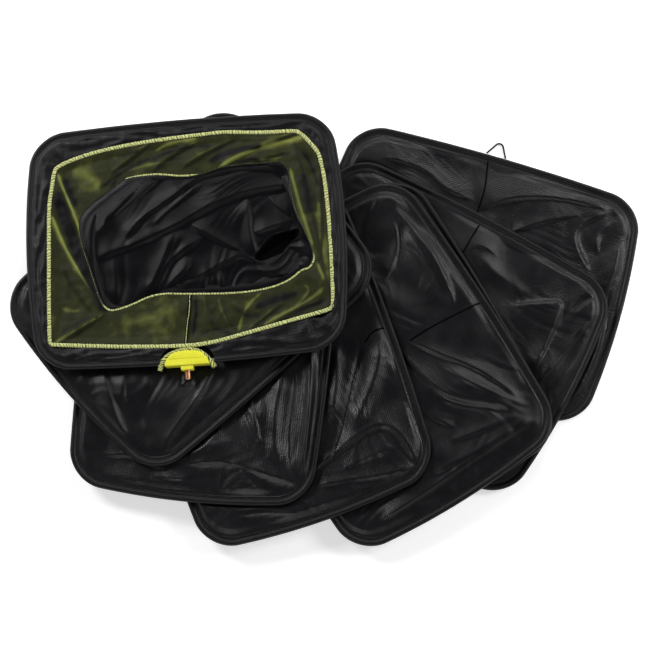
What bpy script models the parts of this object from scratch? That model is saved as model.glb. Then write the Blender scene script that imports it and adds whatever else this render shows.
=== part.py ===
# Keep net, laid down with its eight frames fanned out, mouth on top and base underneath.
# Metres, +Z up. The origin is on the ground, under the middle of the fan.
# Each frame is a steel loop in a sewn cloth sleeve. A net panel joins each frame to the next one,
# folded in between them, and the frames lie on each other, tilted like fanned cards.

from itertools import combinations
from math import cos, pi, radians, sin, tan

import bmesh
import bpy
import numpy as np
from mathutils import Matrix, Vector

# Frames
frame_length = 0.500
frame_width = 0.390
frame_corner = 0.050
long_side_bow = 0.008
short_side_bow = 0.015
wire_diameter = 0.005
wire_play = 0.0004

# Sewn cloth
sleeve_cloth = 0.0009
sleeve_slit = 0.0004
sleeve_width = 0.024
sleeve_bead_run = 0.007
collar_width = 0.037
net_cloth = 0.0007
seam_lap = 0.004
cloth_gap = 0.0003
piping_diameter = 0.0024

# Mouth
lime_band_width = 0.078
throat_length = 0.190
throat_width = 0.110

# Folded net between two frames, and how far apart two crossing frames lie
fold_length = 0.160
fold_width = 0.100
frame_pitch = 0.0105

# Bank stick block on the mouth frame, and the cut-out round it
block_length = 0.068
block_depth = 0.024
block_thickness = 0.018
block_edge = 0.002
block_flat_from_wire = 0.007
block_play = 0.0003
boss_width = 0.019
boss_thickness = 0.014
boss_height = 0.007
stud_diameter = 0.0095
stud_reach = 0.014
stud_root = 0.008
stud_chamfer = 0.001
cutout_length = 0.084
cutout_depth = 0.032
binding_diameter = 0.004
block_place_share = -0.010
block_tilt_up_degrees = 25
block_tilt_down_degrees = 10

# Pull loop on the base frame, a cord sewn to the sleeve at both ends, along the frame's own axes
pull_cord_diameter = 0.003
pull_loop_start = 0.0250
pull_loop_end = -0.0075
pull_loop_tip = 0.0070
pull_loop_reach = 0.0300
pull_loop_bend = 0.0062

# Frame centres as shares of the frame's length, and the heading of the long side, mouth first
frame_place_shares = [
    (-0.432, 0.241, 3.4),
    (-0.417, 0.101, 42.1),
    (-0.368, -0.064, 84.2),
    (-0.160, -0.144, 109.0),
    (0.164, -0.128, 121.9),
    (0.176, -0.118, 119.5),
    (0.322, 0.000, 151.3),
    (0.451, 0.169, 163.2),
]

# One overrun for all cuts
cut_overrun = 0.004

# Counts and shares
corner_points = 5
side_points = 2
arc_points = 11
cutout_points = 17
tube_steps = 1
stud_sides = 20
round_share = 0.85
level_tolerance_share = 1e-6
pull_leg_points = 5
pull_bend_points = 7

# Sizes worked out from those above
bead_inner = (wire_diameter / 2 + wire_play) / cos(pi / 6)
bead_half_height = wire_diameter / 2 + wire_play + sleeve_cloth
bead_outer = bead_half_height / cos(pi / 6)
band_half_height = sleeve_slit / 2 + sleeve_cloth
net_offset = band_half_height + cloth_gap + net_cloth / 2
mouth_net_offset = net_offset + net_cloth + cloth_gap
frame_over_net = bead_half_height + mouth_net_offset + net_cloth / 2 + cloth_gap
lime_inner_inset = collar_width + lime_band_width
block_depth_inside = block_depth - block_flat_from_wire
stud_end = block_flat_from_wire + boss_height + stud_reach

black_cloth = ("black_cloth", (0.028, 0.028, 0.032), 0.75, 0.0)
black_net = ("black_net", (0.035, 0.036, 0.040), 0.85, 0.0)
lime_net = ("lime_net", (0.16, 0.18, 0.04), 0.80, 0.0)
lime_thread = ("lime_thread", (0.55, 0.58, 0.22), 0.70, 0.0)
lime_plastic = ("lime_plastic", (0.80, 0.78, 0.03), 0.35, 0.0)
bright_steel = ("bright_steel", (0.55, 0.55, 0.56), 0.35, 1.0)
brass = ("brass", (0.72, 0.42, 0.22), 0.30, 1.0)


def clear_scene():
    for item in list(bpy.data.objects):
        bpy.data.objects.remove(item, do_unlink=True)


def new_collection(name):
    collection = bpy.data.collections.new(name)
    bpy.context.scene.collection.children.link(collection)
    return collection


def material(finish):
    name, colour, roughness, metallic = finish
    made = bpy.data.materials.new(name)
    made.use_nodes = True
    shader = made.node_tree.nodes["Principled BSDF"]
    shader.inputs["Base Color"].default_value = (*colour, 1.0)
    shader.inputs["Roughness"].default_value = roughness
    shader.inputs["Metallic"].default_value = metallic
    made.diffuse_color = (*colour, 1.0)
    return made


def add_part(name, data, finish, parent):
    part = bpy.data.objects.new(name, data)
    part.data.materials.clear()
    part.data.materials.append(material(finish))
    parts.objects.link(part)
    part.parent = parent
    return part


def add_cutter(name, data, parent):
    cutter = bpy.data.objects.new(name, data)
    cutters.objects.link(cutter)
    cutter.parent = parent
    cutter.hide_render = True
    cutter.display_type = "WIRE"
    return cutter


def add_boolean(part, tool, operation):
    boolean = part.modifiers.new(tool.name, "BOOLEAN")
    boolean.operation = operation
    boolean.object = tool


def finish_mesh(name, shape):
    bmesh.ops.recalc_face_normals(shape, faces=shape.faces)
    mesh = bpy.data.meshes.new(name)
    shape.to_mesh(mesh)
    shape.free()
    return mesh


# Outlines: a rounded oblong with points round its corners and along its sides

def outline(length, width, corner):
    corner = min(corner, length / 2, width / 2)
    signs = [(1, 1), (-1, 1), (-1, -1), (1, -1)]
    corners = []
    for index, (side_x, side_y) in enumerate(signs):
        centre_x = side_x * (length / 2 - corner)
        centre_y = side_y * (width / 2 - corner)
        arc = []
        for step in range(corner_points):
            angle = (index + step / (corner_points - 1)) * pi / 2
            arc.append((centre_x + corner * cos(angle), centre_y + corner * sin(angle)))
        corners.append(arc)
    points = []
    for arc, next_arc in zip(corners, corners[1:] + corners[:1]):
        points += arc
        start, end = Vector(arc[-1]), Vector(next_arc[0])
        for step in range(1, side_points + 1):
            points.append(tuple(start.lerp(end, step / (side_points + 1))))
    return points


def frame_outline(inset):
    # The sides bow out, furthest in the middle of each side
    half_length = frame_length / 2 - short_side_bow - inset
    half_width = frame_width / 2 - long_side_bow - inset
    corner = max(frame_corner - inset, frame_corner / 3)
    points = []
    for x, y in outline(2 * half_length, 2 * half_width, corner):
        bow_x = short_side_bow * (1 - (y / half_width) ** 2)
        bow_y = long_side_bow * (1 - (x / half_length) ** 2)
        points.append((x + (bow_x if x > 0 else -bow_x), y + (bow_y if y > 0 else -bow_y)))
    return points


def half_round(half_length, depth, base, count):
    # The curved side of a half-moon, fuller than an ellipse, from right to left
    points = []
    for step in range(count):
        angle = pi * step / (count - 1)
        side = 1 if cos(angle) >= 0 else -1
        points.append((
            side * half_length * abs(cos(angle)) ** round_share,
            base + depth * sin(angle) ** round_share,
        ))
    return points


def at_height(points, height):
    return [Vector((x, y, height)) for x, y in points]


# Resting planes: every frame lies on the frames and the net under it

def placed_outline(place):
    x, y, heading = place
    turn = Matrix.Rotation(radians(heading), 2)
    points = [turn @ Vector(point) for point in frame_outline(bead_outer)]
    return np.array([(point.x + x, point.y + y) for point in points])


def crossings(first, second):
    found = []
    for start, end in zip(first, np.roll(first, -1, axis=0)):
        for other_start, other_end in zip(second, np.roll(second, -1, axis=0)):
            run, other_run = end - start, other_end - other_start
            spread = run[0] * other_run[1] - run[1] * other_run[0]
            if spread == 0:
                continue
            offset = other_start - start
            along = (offset[0] * other_run[1] - offset[1] * other_run[0]) / spread
            other_along = (offset[0] * run[1] - offset[1] * run[0]) / spread
            if 0 <= along < 1 and 0 <= other_along < 1:
                found.append(start + along * run)
    return found


def inside(point, loop):
    edges = np.roll(loop, -1, axis=0) - loop
    offsets = np.array(point) - loop
    return bool(np.all(edges[:, 0] * offsets[:, 1] - edges[:, 1] * offsets[:, 0] > 0))


def level(plane, point):
    return plane[0] + plane[1] * point[0] + plane[2] * point[1]


def resting_plane(supports, centre):
    # Of all the triangles of supports round the centre, the frame lies on the one that is highest there
    triples = np.array(list(combinations(range(len(supports)), 3)))
    corners = np.array(supports)[triples]
    matrix = np.concatenate([np.ones((len(triples), 3, 1)), corners[:, :, :2]], axis=2)
    sound = np.abs(np.linalg.det(matrix)) > frame_length ** 2 * level_tolerance_share
    matrix, heights = matrix[sound], corners[sound][:, :, 2:]
    target = np.array([1.0, *centre])
    weights = np.linalg.solve(np.swapaxes(matrix, 1, 2), np.tile(target[:, None], (len(matrix), 1, 1)))
    around = np.all(weights[:, :, 0] >= -level_tolerance_share, axis=1)
    planes = np.linalg.solve(matrix[around], heights[around])[:, :, 0]
    return planes[int(np.argmax(planes @ target))]


def block_supports(place):
    # How far the block and its stud reach below the wire over the block's tilt
    x, y, heading = place
    up, down = radians(block_tilt_up_degrees), radians(block_tilt_down_degrees)
    half_thickness = block_thickness / 2
    spots = [
        (0.0, -stud_end, stud_end * sin(up) + stud_diameter / 2 * cos(up)),
        (0.0, block_depth_inside, block_depth_inside * sin(down) + half_thickness * cos(down)),
    ]
    for side in (-1, 1):
        drop = block_flat_from_wire * sin(up) + half_thickness * cos(up)
        spots.append((side * block_length / 2, -block_flat_from_wire, drop))
    turn = Matrix.Rotation(radians(heading), 2)
    placed = []
    for along, across, drop in spots:
        spot = turn @ Vector((block_place_share * frame_length + along, across - wire_line))
        placed.append((spot.x + x, spot.y + y, drop))
    return placed


def settle(places):
    planes = [None] * len(places)
    loops = [placed_outline(place) for place in places]
    for upper in reversed(range(len(places))):
        supports = [(x, y, bead_half_height) for x, y in loops[upper]]
        for lower in range(upper + 1, len(places)):
            below = planes[lower]
            for point in crossings(loops[upper], loops[lower]):
                supports.append((*point, level(below, point) + frame_pitch))
            for loop, other in ((loops[upper], loops[lower]), (loops[lower], loops[upper])):
                for point in loop:
                    if inside(point, other):
                        supports.append((*point, level(below, point) + frame_over_net))
            if upper == 0:
                for x, y, drop in block_supports(places[upper]):
                    if inside((x, y), loops[lower]):
                        supports.append((x, y, level(below, (x, y)) + drop + bead_half_height))
        planes[upper] = resting_plane(supports, places[upper][:2])
    return planes


def fan_places():
    # The fan is shifted so that the origin is under the middle of its outline
    places = [(x * frame_length, y * frame_length, heading) for x, y, heading in frame_place_shares]
    edges = []
    for x, y, heading in places:
        turn = Matrix.Rotation(radians(heading), 2)
        for point in frame_outline(0.0):
            edges.append(turn @ Vector(point) + Vector((x, y)))
    middle_x = (min(point.x for point in edges) + max(point.x for point in edges)) / 2
    middle_y = (min(point.y for point in edges) + max(point.y for point in edges)) / 2
    return [(x - middle_x, y - middle_y, heading) for x, y, heading in places]


def frame_matrix(place, plane):
    x, y, heading = place
    normal = Vector((-plane[1], -plane[2], 1.0)).normalized()
    along = Vector((cos(radians(heading)), sin(radians(heading)), 0.0))
    along = (along - along.dot(normal) * normal).normalized()
    turn = Matrix((along, normal.cross(along), normal)).transposed()
    return Matrix.Translation((x, y, level(plane, (x, y)))) @ turn.to_4x4()


def add_place(name, matrix, parent):
    empty = bpy.data.objects.new(name, None)
    parts.objects.link(empty)
    empty.parent = parent
    empty.location = matrix.to_translation()
    empty.rotation_euler = matrix.to_euler()
    return empty


# Solids

def loft_mesh(name, loops):
    # A closed skin over loops of equal count, one for each corner of the section
    shape = bmesh.new()
    rings = [[shape.verts.new(point) for point in loop] for loop in loops]
    for ring, next_ring in zip(rings, rings[1:] + rings[:1]):
        for index in range(len(ring)):
            following = (index + 1) % len(ring)
            shape.faces.new((ring[index], ring[following], next_ring[following], next_ring[index]))
    return finish_mesh(name, shape)


def plate_mesh(name, points, bottom, top):
    shape = bmesh.new()
    face = shape.faces.new([shape.verts.new(point) for point in at_height(points, bottom)])
    raised = bmesh.ops.extrude_face_region(shape, geom=[face])
    verts = [item for item in raised["geom"] if isinstance(item, bmesh.types.BMVert)]
    bmesh.ops.translate(shape, vec=(0.0, 0.0, top - bottom), verts=verts)
    return finish_mesh(name, shape)


def rod_mesh(name, diameter, sides, start, end):
    # A rod along +X from start to end, whose flats touch the diameter
    shape = bmesh.new()
    radius = diameter / 2 / cos(pi / sides)
    turn = Matrix.Translation(((start + end) / 2, 0.0, 0.0)) @ Matrix.Rotation(pi / 2, 4, "Y")
    bmesh.ops.create_cone(
        shape, cap_ends=True, segments=sides, radius1=radius, radius2=radius, depth=end - start, matrix=turn
    )
    return finish_mesh(name, shape)


def tube_curve(name, points, diameter, cyclic):
    curve = bpy.data.curves.new(name, "CURVE")
    curve.dimensions = "3D"
    curve.bevel_depth = diameter / 2
    curve.bevel_resolution = tube_steps
    curve.use_fill_caps = not cyclic
    spline = curve.splines.new("POLY")
    spline.points.add(len(points) - 1)
    for spot, point in zip(spline.points, points):
        spot.co = (*point, 1.0)
    spline.use_cyclic_u = cyclic
    return curve


def sleeve_mesh(name, width):
    # Cloth folded round the wire, its two layers lying together along the inner edge
    angles = [radians(angle) for angle in (120, 60, 0, -60, -120)]
    outer = [(bead_outer * (1 - cos(angle)), bead_outer * sin(angle)) for angle in angles]
    inner = [(bead_outer - bead_inner * cos(angle), -bead_inner * sin(angle)) for angle in angles]
    bead_end = 2 * bead_outer + sleeve_bead_run
    inner_bead_end = bead_end - sleeve_cloth
    section = [(width, band_half_height), (bead_end, band_half_height)]
    section += outer
    section += [(bead_end, -band_half_height), (width, -band_half_height)]
    section += [(width, -sleeve_slit / 2), (inner_bead_end, -sleeve_slit / 2)]
    section += inner
    section += [(inner_bead_end, sleeve_slit / 2), (width, sleeve_slit / 2)]
    return loft_mesh(name, [at_height(frame_outline(inset), height) for inset, height in section])


def build_wire(number, empty):
    name = f"frame_{number}_wire"
    points = at_height(frame_outline(bead_outer), 0.0)
    add_part(name, tube_curve(name, points, wire_diameter, True), bright_steel, empty)


def build_sleeve(number, empty):
    name = f"frame_{number}_sleeve"
    add_part(name, sleeve_mesh(name, sleeve_width), black_cloth, empty)


def cutout_arc():
    return half_round(cutout_length / 2, cutout_depth, -bead_outer, cutout_points)


def moved_inward(points, distance):
    # Each inner point of an open curve that runs anticlockwise, moved square to the curve
    moved = []
    for before, point, after in zip(points, points[1:], points[2:]):
        run = (Vector(after) - Vector(before)).normalized()
        moved.append((point[0] - run.y * distance, point[1] + run.x * distance))
    return moved


def build_mouth_collar(empty, block_place):
    collar = add_part("mouth_collar", sleeve_mesh("mouth_collar", collar_width), black_cloth, empty)
    arc = cutout_arc()
    half_length = cutout_length / 2
    open_side = -bead_outer - cut_overrun
    points = arc + [(-half_length, open_side), (half_length, open_side)]
    reach = bead_half_height + cut_overrun
    cutter = add_cutter("cutout_cutter", plate_mesh("cutout_cutter", points, -reach, reach), block_place)
    add_boolean(collar, cutter, "DIFFERENCE")


def build_cutout_binding(block_place):
    lowest = (wire_diameter + binding_diameter) / 2 + cloth_gap
    inner = moved_inward(cutout_arc(), binding_diameter / 2 + 2 * cloth_gap)
    points = [point for point in inner if point[1] >= lowest]
    curve = tube_curve("cutout_binding", at_height(points, 0.0), binding_diameter, False)
    add_part("cutout_binding", curve, lime_thread, block_place)


def build_lime_band(empty):
    half = net_cloth / 2
    outer = frame_outline(collar_width - seam_lap)
    inner = frame_outline(lime_inner_inset)
    loops = [
        at_height(outer, -net_offset + half),
        at_height(inner, -net_offset + half),
        at_height(inner, -net_offset - half),
        at_height(outer, -net_offset - half),
    ]
    add_part("lime_band", loft_mesh("lime_band", loops), lime_net, empty)


def build_piping(name, inset, empty):
    height = -net_offset + net_cloth / 2 + cloth_gap + piping_diameter / 2
    points = at_height(frame_outline(inset), height)
    add_part(name, tube_curve(name, points, piping_diameter, True), lime_thread, empty)


def on_place(matrix, points, height):
    return [matrix @ point for point in at_height(points, height)]


def fold_matrix(upper, lower):
    # Midway between two frames, turned halfway from one to the other
    along = upper.col[0].to_3d() + lower.col[0].to_3d()
    normal = upper.col[2].to_3d() + lower.col[2].to_3d()
    normal.normalize()
    along = (along - along.dot(normal) * normal).normalized()
    turn = Matrix((along, normal.cross(along), normal)).transposed()
    middle = (upper.translation + lower.translation) / 2
    return Matrix.Translation(middle) @ turn.to_4x4()


def dropped_onto(matrix, points, height):
    # The points moved along Z into the plane that lies at this height over a frame
    normal = matrix.col[2].to_3d()
    base = matrix.translation + normal * height
    dropped = []
    for point in points:
        rise = normal.x * (point.x - base.x) + normal.y * (point.y - base.y)
        dropped.append(Vector((point.x, point.y, base.z - rise / normal.z)))
    return dropped


def build_net_panel(number, upper, lower, start, start_height, fold, fold_size):
    # From the upper frame in to the fold, down, and out again to the lower frame
    half = net_cloth / 2
    end = frame_outline(sleeve_width - seam_lap)
    length, width = fold_size
    loops = []
    for side in (1, -1):
        points = outline(length - side * net_cloth, width - side * net_cloth, (width - side * net_cloth) / 2)
        folded = on_place(fold, points, 0.0)
        layer = [
            on_place(upper, start, start_height + side * half),
            dropped_onto(upper, folded, start_height + side * half),
            dropped_onto(lower, folded, net_offset - side * half),
            on_place(lower, end, net_offset - side * half),
        ]
        loops += layer if side == 1 else layer[::-1]
    name = f"net_panel_{number}"
    add_part(name, loft_mesh(name, loops), black_net, None)


def build_net_panels(matrices):
    for index, (upper, lower) in enumerate(zip(matrices, matrices[1:])):
        if index == 0:
            start = frame_outline(lime_inner_inset - seam_lap)
            throat = (throat_length, throat_width)
            build_net_panel(1, upper, lower, start, -mouth_net_offset, upper, throat)
        else:
            start = frame_outline(sleeve_width - seam_lap)
            fold = fold_matrix(upper, lower)
            build_net_panel(index + 1, upper, lower, start, -net_offset, fold, (fold_length, fold_width))


def build_base_panel(empty):
    half = net_cloth / 2
    points = frame_outline(sleeve_width - seam_lap)
    mesh = plate_mesh("base_panel", points, -net_offset - half, -net_offset + half)
    add_part("base_panel", mesh, black_net, empty)


def block_body_mesh():
    half_length = block_length / 2
    arc = half_round(half_length, block_depth, -block_flat_from_wire, arc_points)
    half = block_thickness / 2
    moulding = add_cutter("block_moulding", plate_mesh("block_moulding", arc, -half, half), None)
    bevel = moulding.modifiers.new("edge", "BEVEL")
    bevel.width = block_edge
    bevel.segments = 2
    bevel.limit_method = "ANGLE"
    bevel.angle_limit = pi / 3
    depsgraph = bpy.context.evaluated_depsgraph_get()
    mesh = bpy.data.meshes.new_from_object(moulding.evaluated_get(depsgraph))
    bpy.data.objects.remove(moulding, do_unlink=True)
    return mesh


def boss_mesh():
    start = -block_flat_from_wire - boss_height
    end = -block_flat_from_wire + block_edge
    half_width = boss_width / 2
    points = [(half_width, start), (half_width, end), (-half_width, end), (-half_width, start)]
    return plate_mesh("boss_form", points, -boss_thickness / 2, boss_thickness / 2)


def build_block(block_place):
    body = add_part("block_body", block_body_mesh(), lime_plastic, block_place)
    boss = add_cutter("boss_form", boss_mesh(), block_place)
    half_length = block_length / 2 + cut_overrun
    bore = wire_diameter + 2 * block_play
    wire_bore = rod_mesh("wire_bore", bore, stud_sides, -half_length, half_length)
    wire_cutter = add_cutter("wire_bore", wire_bore, block_place)
    socket_depth = stud_root + block_play
    socket = rod_mesh("stud_socket", stud_diameter + 2 * block_play, stud_sides, -cut_overrun, socket_depth)
    socket_cutter = add_cutter("stud_socket", socket, block_place)
    socket_cutter.location = (0.0, -block_flat_from_wire - boss_height, 0.0)
    socket_cutter.rotation_euler = (0.0, 0.0, pi / 2)
    add_boolean(body, boss, "UNION")
    add_boolean(body, wire_cutter, "DIFFERENCE")
    add_boolean(body, socket_cutter, "DIFFERENCE")


def build_stud(block_place):
    # Turned about the stud's own Z, which points out of the boss
    radius = stud_diameter / 2
    profile = [
        (0.0, stud_reach),
        (radius - stud_chamfer, stud_reach),
        (radius, stud_reach - stud_chamfer),
        (radius, -stud_root),
        (0.0, -stud_root),
    ]
    mesh = bpy.data.meshes.new("threaded_stud")
    edges = [(index, index + 1) for index in range(len(profile) - 1)]
    mesh.from_pydata([(x, 0.0, z) for x, z in profile], edges, [])
    stud = add_part("threaded_stud", mesh, brass, block_place)
    stud.location = (0.0, -block_flat_from_wire - boss_height, 0.0)
    stud.rotation_euler = (pi / 2, 0.0, 0.0)
    screw = stud.modifiers.new("turned", "SCREW")
    screw.steps = stud_sides
    screw.render_steps = stud_sides
    screw.use_merge_vertices = True
    screw.merge_threshold = 0.00001
    screw.use_smooth_shade = False


def pull_loop_points():
    # Two straight legs off the sleeve's edge with a round bend between them, the bend lying lowest
    edge = -wire_line - bead_outer - cloth_gap
    tip = Vector((pull_loop_tip, edge - pull_loop_reach))
    ends = []
    for x in (pull_loop_start, pull_loop_end):
        lean = (tip - Vector((x, edge))).normalized()
        ends.append(Vector((x, edge)) + lean * abs(lean.x) * pull_cord_diameter)
    leave = (tip - ends[0]).normalized()
    arrive = (ends[1] - tip).normalized()
    turn = leave.angle_signed(arrive)
    tangent = pull_loop_bend * tan(abs(turn) / 2)
    first, last = tip - leave * tangent, tip + arrive * tangent
    spots = [ends[0].lerp(first, step / (pull_leg_points - 1)) for step in range(pull_leg_points)]
    side = Vector((-leave.y, leave.x)) * (pull_loop_bend if turn < 0 else -pull_loop_bend)
    for step in range(1, pull_bend_points - 1):
        angle = -turn * step / (pull_bend_points - 1)
        spots.append(first + side - Matrix.Rotation(angle, 2) @ side)
    spots += [last.lerp(ends[1], step / (pull_leg_points - 1)) for step in range(pull_leg_points)]
    drop = bead_half_height - pull_cord_diameter / 2 - cloth_gap
    points = []
    for index, spot in enumerate(spots):
        points.append((*spot, -drop * sin(pi * index / (len(spots) - 1))))
    return points


def build_pull_loop(empty):
    curve = tube_curve("pull_loop", pull_loop_points(), pull_cord_diameter, False)
    curve.bevel_resolution = 2
    add_part("pull_loop", curve, black_cloth, empty)


def build_keep_net():
    places = fan_places()
    planes = settle(places)
    matrices = [frame_matrix(place, plane) for place, plane in zip(places, planes)]
    empties = []
    for number, matrix in enumerate(matrices, start=1):
        empty = add_place(f"frame_{number}_place", matrix, None)
        empties.append(empty)
        build_wire(number, empty)
        if number > 1:
            build_sleeve(number, empty)
    mouth = empties[0]
    on_wire = Matrix.Translation((block_place_share * frame_length, -wire_line, 0.0))
    block_place = add_place("block_place", on_wire, mouth)
    build_mouth_collar(mouth, block_place)
    build_cutout_binding(block_place)
    build_lime_band(mouth)
    build_piping("lime_seam_outer", collar_width + cloth_gap + piping_diameter / 2, mouth)
    build_piping("lime_seam_inner", lime_inner_inset - piping_diameter / 2, mouth)
    build_net_panels(matrices)
    build_base_panel(empties[-1])
    build_block(block_place)
    build_stud(block_place)
    build_pull_loop(empties[-1])


wire_line = max(y for x, y in frame_outline(bead_outer))

clear_scene()
parts = new_collection("keep_net")
cutters = new_collection("cutters")
build_keep_net()
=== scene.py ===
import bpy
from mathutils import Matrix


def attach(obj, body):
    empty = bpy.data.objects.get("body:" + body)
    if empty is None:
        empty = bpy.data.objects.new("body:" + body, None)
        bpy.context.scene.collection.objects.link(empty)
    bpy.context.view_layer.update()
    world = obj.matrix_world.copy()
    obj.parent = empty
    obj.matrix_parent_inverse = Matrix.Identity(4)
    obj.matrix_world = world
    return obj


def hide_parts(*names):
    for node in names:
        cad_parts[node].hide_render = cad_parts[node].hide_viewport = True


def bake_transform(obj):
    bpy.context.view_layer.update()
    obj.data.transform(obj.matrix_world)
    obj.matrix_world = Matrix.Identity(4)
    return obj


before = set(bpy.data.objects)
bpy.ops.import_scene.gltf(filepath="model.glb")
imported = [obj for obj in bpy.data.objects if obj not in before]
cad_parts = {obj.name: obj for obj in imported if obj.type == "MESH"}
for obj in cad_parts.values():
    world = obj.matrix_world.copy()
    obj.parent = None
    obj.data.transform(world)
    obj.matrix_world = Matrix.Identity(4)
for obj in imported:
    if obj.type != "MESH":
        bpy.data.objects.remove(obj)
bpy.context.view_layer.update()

from math import cos, pi, radians, sin, tan

import bmesh
import bpy
import numpy as np
from mathutils import Matrix, Vector
from mathutils.bvhtree import BVHTree

scene = bpy.context.scene
scene.view_settings.view_transform = "Standard"

# Camera, at the photograph's viewing angle

view = {
    "lookAt": (-0.003424, 0.009216, 0.0), "elevation": radians(79.46), "distance": 2.609,
    "focalPixels": 1659.0, "imageSize": 650, "sensor": 36.0,
}

cameraBack = np.array((0.0, -cos(view["elevation"]), sin(view["elevation"])))
cameraRight = np.array((1.0, 0.0, 0.0))
cameraUp = np.cross(cameraBack, cameraRight)
cameraPlace = np.array(view["lookAt"]) + view["distance"] * cameraBack

camera = bpy.data.objects.new("camera", bpy.data.cameras.new("camera"))
scene.collection.objects.link(camera)
camera.location = cameraPlace
camera.rotation_euler = (pi / 2 - view["elevation"], 0.0, 0.0)
camera.data.sensor_width = view["sensor"]
camera.data.lens = view["focalPixels"] / view["imageSize"] * view["sensor"]
scene.camera = camera
print("camera placed")

# Frames: sizes as in the part, and each frame's place measured from its own wire

frameSizes = {
    "length": 0.5, "width": 0.39, "corner": 0.05, "longSideBow": 0.008, "shortSideBow": 0.015,
    "beadRadius": 0.0039, "wireInset": 0.00439, "wireStep": 0.00057, "bandHalf": 0.0011, "sleeveWidth": 0.024,
    "collarWidth": 0.037, "netOffset": 0.00175, "netCloth": 0.0007,
    "cornerPoints": 40, "sidePoints": 90, "loopPoints": 720,
}
halfLength = frameSizes["length"] / 2 - frameSizes["shortSideBow"]
halfWidth = frameSizes["width"] / 2 - frameSizes["longSideBow"]


def unit(vectors):
    return vectors / np.linalg.norm(vectors, axis=-1, keepdims=True)


def distancesAlong(points):
    # How far along the line each point lies
    return np.concatenate([[0.0], np.cumsum(np.linalg.norm(np.diff(points, axis=0), axis=1))])


def measurePlace(number):
    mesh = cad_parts[f"frame_{number}_wire"].data
    points = np.array([vert.co for vert in mesh.vertices], float)
    points = np.unique(np.round(points, 6), axis=0)  # the node's triangles repeat their corners
    centre = points.mean(axis=0)
    axes = np.linalg.eigh(np.cov((points - centre).T))[1]
    normal = axes[:, 0] * np.sign(axes[2, 0])
    along = axes[:, 2] * np.sign(axes[1, 2])
    return {"centre": centre, "along": along, "across": np.cross(normal, along), "normal": normal}


places = {number: measurePlace(number) for number in range(1, 9)}


def bodyOf(number):
    return {1: "mouth_frame", 8: "base_frame"}.get(number, f"frame_{number}")


def planeHeight(number, xy):
    place = places[number]
    offset = xy - place["centre"][:2]
    return place["centre"][2] - (offset @ place["normal"][:2]) / place["normal"][2]


def liftedPoints(number, xy, heights):
    # Points this high over the frame's plane
    return np.concatenate([xy, (planeHeight(number, xy) + heights)[..., None]], axis=-1)


def toLocal(number, xy):
    place = places[number]
    points = liftedPoints(number, xy, 0.0) - place["centre"]
    return np.stack([points @ place["along"], points @ place["across"]], axis=-1)


def onFrame(number, local, height=0.0):
    place = places[number]
    flat = local[..., :1] * place["along"] + local[..., 1:2] * place["across"]
    return place["centre"] + flat + np.asarray(height)[..., None] * place["normal"]


def pixelToFrame(number, pixels, height=0.0):
    # Where the camera's rays through these pixels meet the frame's plane
    place = places[number]
    pixels = np.array(pixels, float)
    across = (pixels[..., :1] - view["imageSize"] / 2) / view["focalPixels"]
    down = (pixels[..., 1:2] - view["imageSize"] / 2) / view["focalPixels"]
    rays = across * cameraRight - down * cameraUp - cameraBack
    base = place["centre"] + height * place["normal"]
    reach = ((base - cameraPlace) @ place["normal"]) / (rays @ place["normal"])
    return cameraPlace + reach[..., None] * rays


def resampled(points, count, closed=True):
    # The same line with its points evenly spaced
    points = np.asarray(points, float)
    if closed:
        points = np.concatenate([points, points[:1]])
    steps = distancesAlong(points)
    spots = np.linspace(0.0, steps[-1], count, endpoint=not closed)
    return np.stack([np.interp(spots, steps, column) for column in points.T], axis=1)


def roundedLine(points, rounds=2, closed=False):
    # Corners cut off, a few rounds over
    points = np.asarray(points, float)
    for _ in range(rounds):
        following = np.roll(points, -1, axis=0) if closed else points[1:]
        leading = points if closed else points[:-1]
        cut = np.stack([leading * 0.75 + following * 0.25, leading * 0.25 + following * 0.75], axis=1)
        cut = cut.reshape(-1, points.shape[1])
        points = cut if closed else np.concatenate([points[:1], cut, points[-1:]])
    return points


def drawnLine(number, pixels, count, height=0.0):
    return resampled(roundedLine(pixelToFrame(number, pixels, height)), count, closed=False)


def drawnLoop(number, pixels, rounds, count, height=0.0):
    return resampled(roundedLine(pixelToFrame(number, pixels, height), rounds, closed=True), count)


def frameOutline(count):
    # The frame's outer edge with its outward directions, in the frame's own axes
    corner = frameSizes["corner"]
    points = []
    for index, (sideX, sideY) in enumerate([(1, 1), (-1, 1), (-1, -1), (1, -1)]):
        angles = (index + np.linspace(0, 1, frameSizes["cornerPoints"])) * pi / 2
        arcX = sideX * (halfLength - corner) + corner * np.cos(angles)
        arcY = sideY * (halfWidth - corner) + corner * np.sin(angles)
        points += list(zip(arcX, arcY))
    points = resampled(points, 4 * frameSizes["sidePoints"])
    bowX = frameSizes["shortSideBow"] * (1 - (points[:, 1] / halfWidth) ** 2)
    bowY = frameSizes["longSideBow"] * (1 - (points[:, 0] / halfLength) ** 2)
    points = points + np.stack([bowX, bowY], axis=1) * np.sign(points)
    points = resampled(points, count)
    run = np.roll(points, -1, axis=0) - np.roll(points, 1, axis=0)
    return points, unit(np.stack([run[:, 1], -run[:, 0]], axis=1))


def insetLoop(inset):
    points, outward = frameOutline(frameSizes["loopPoints"])
    return points - outward * inset


# The wire's distance from the middle on its long sides, a little short of the curve's peak, as in the part
wireLine = insetLoop(frameSizes["wireInset"])[:, 1].max() - frameSizes["wireStep"]


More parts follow.
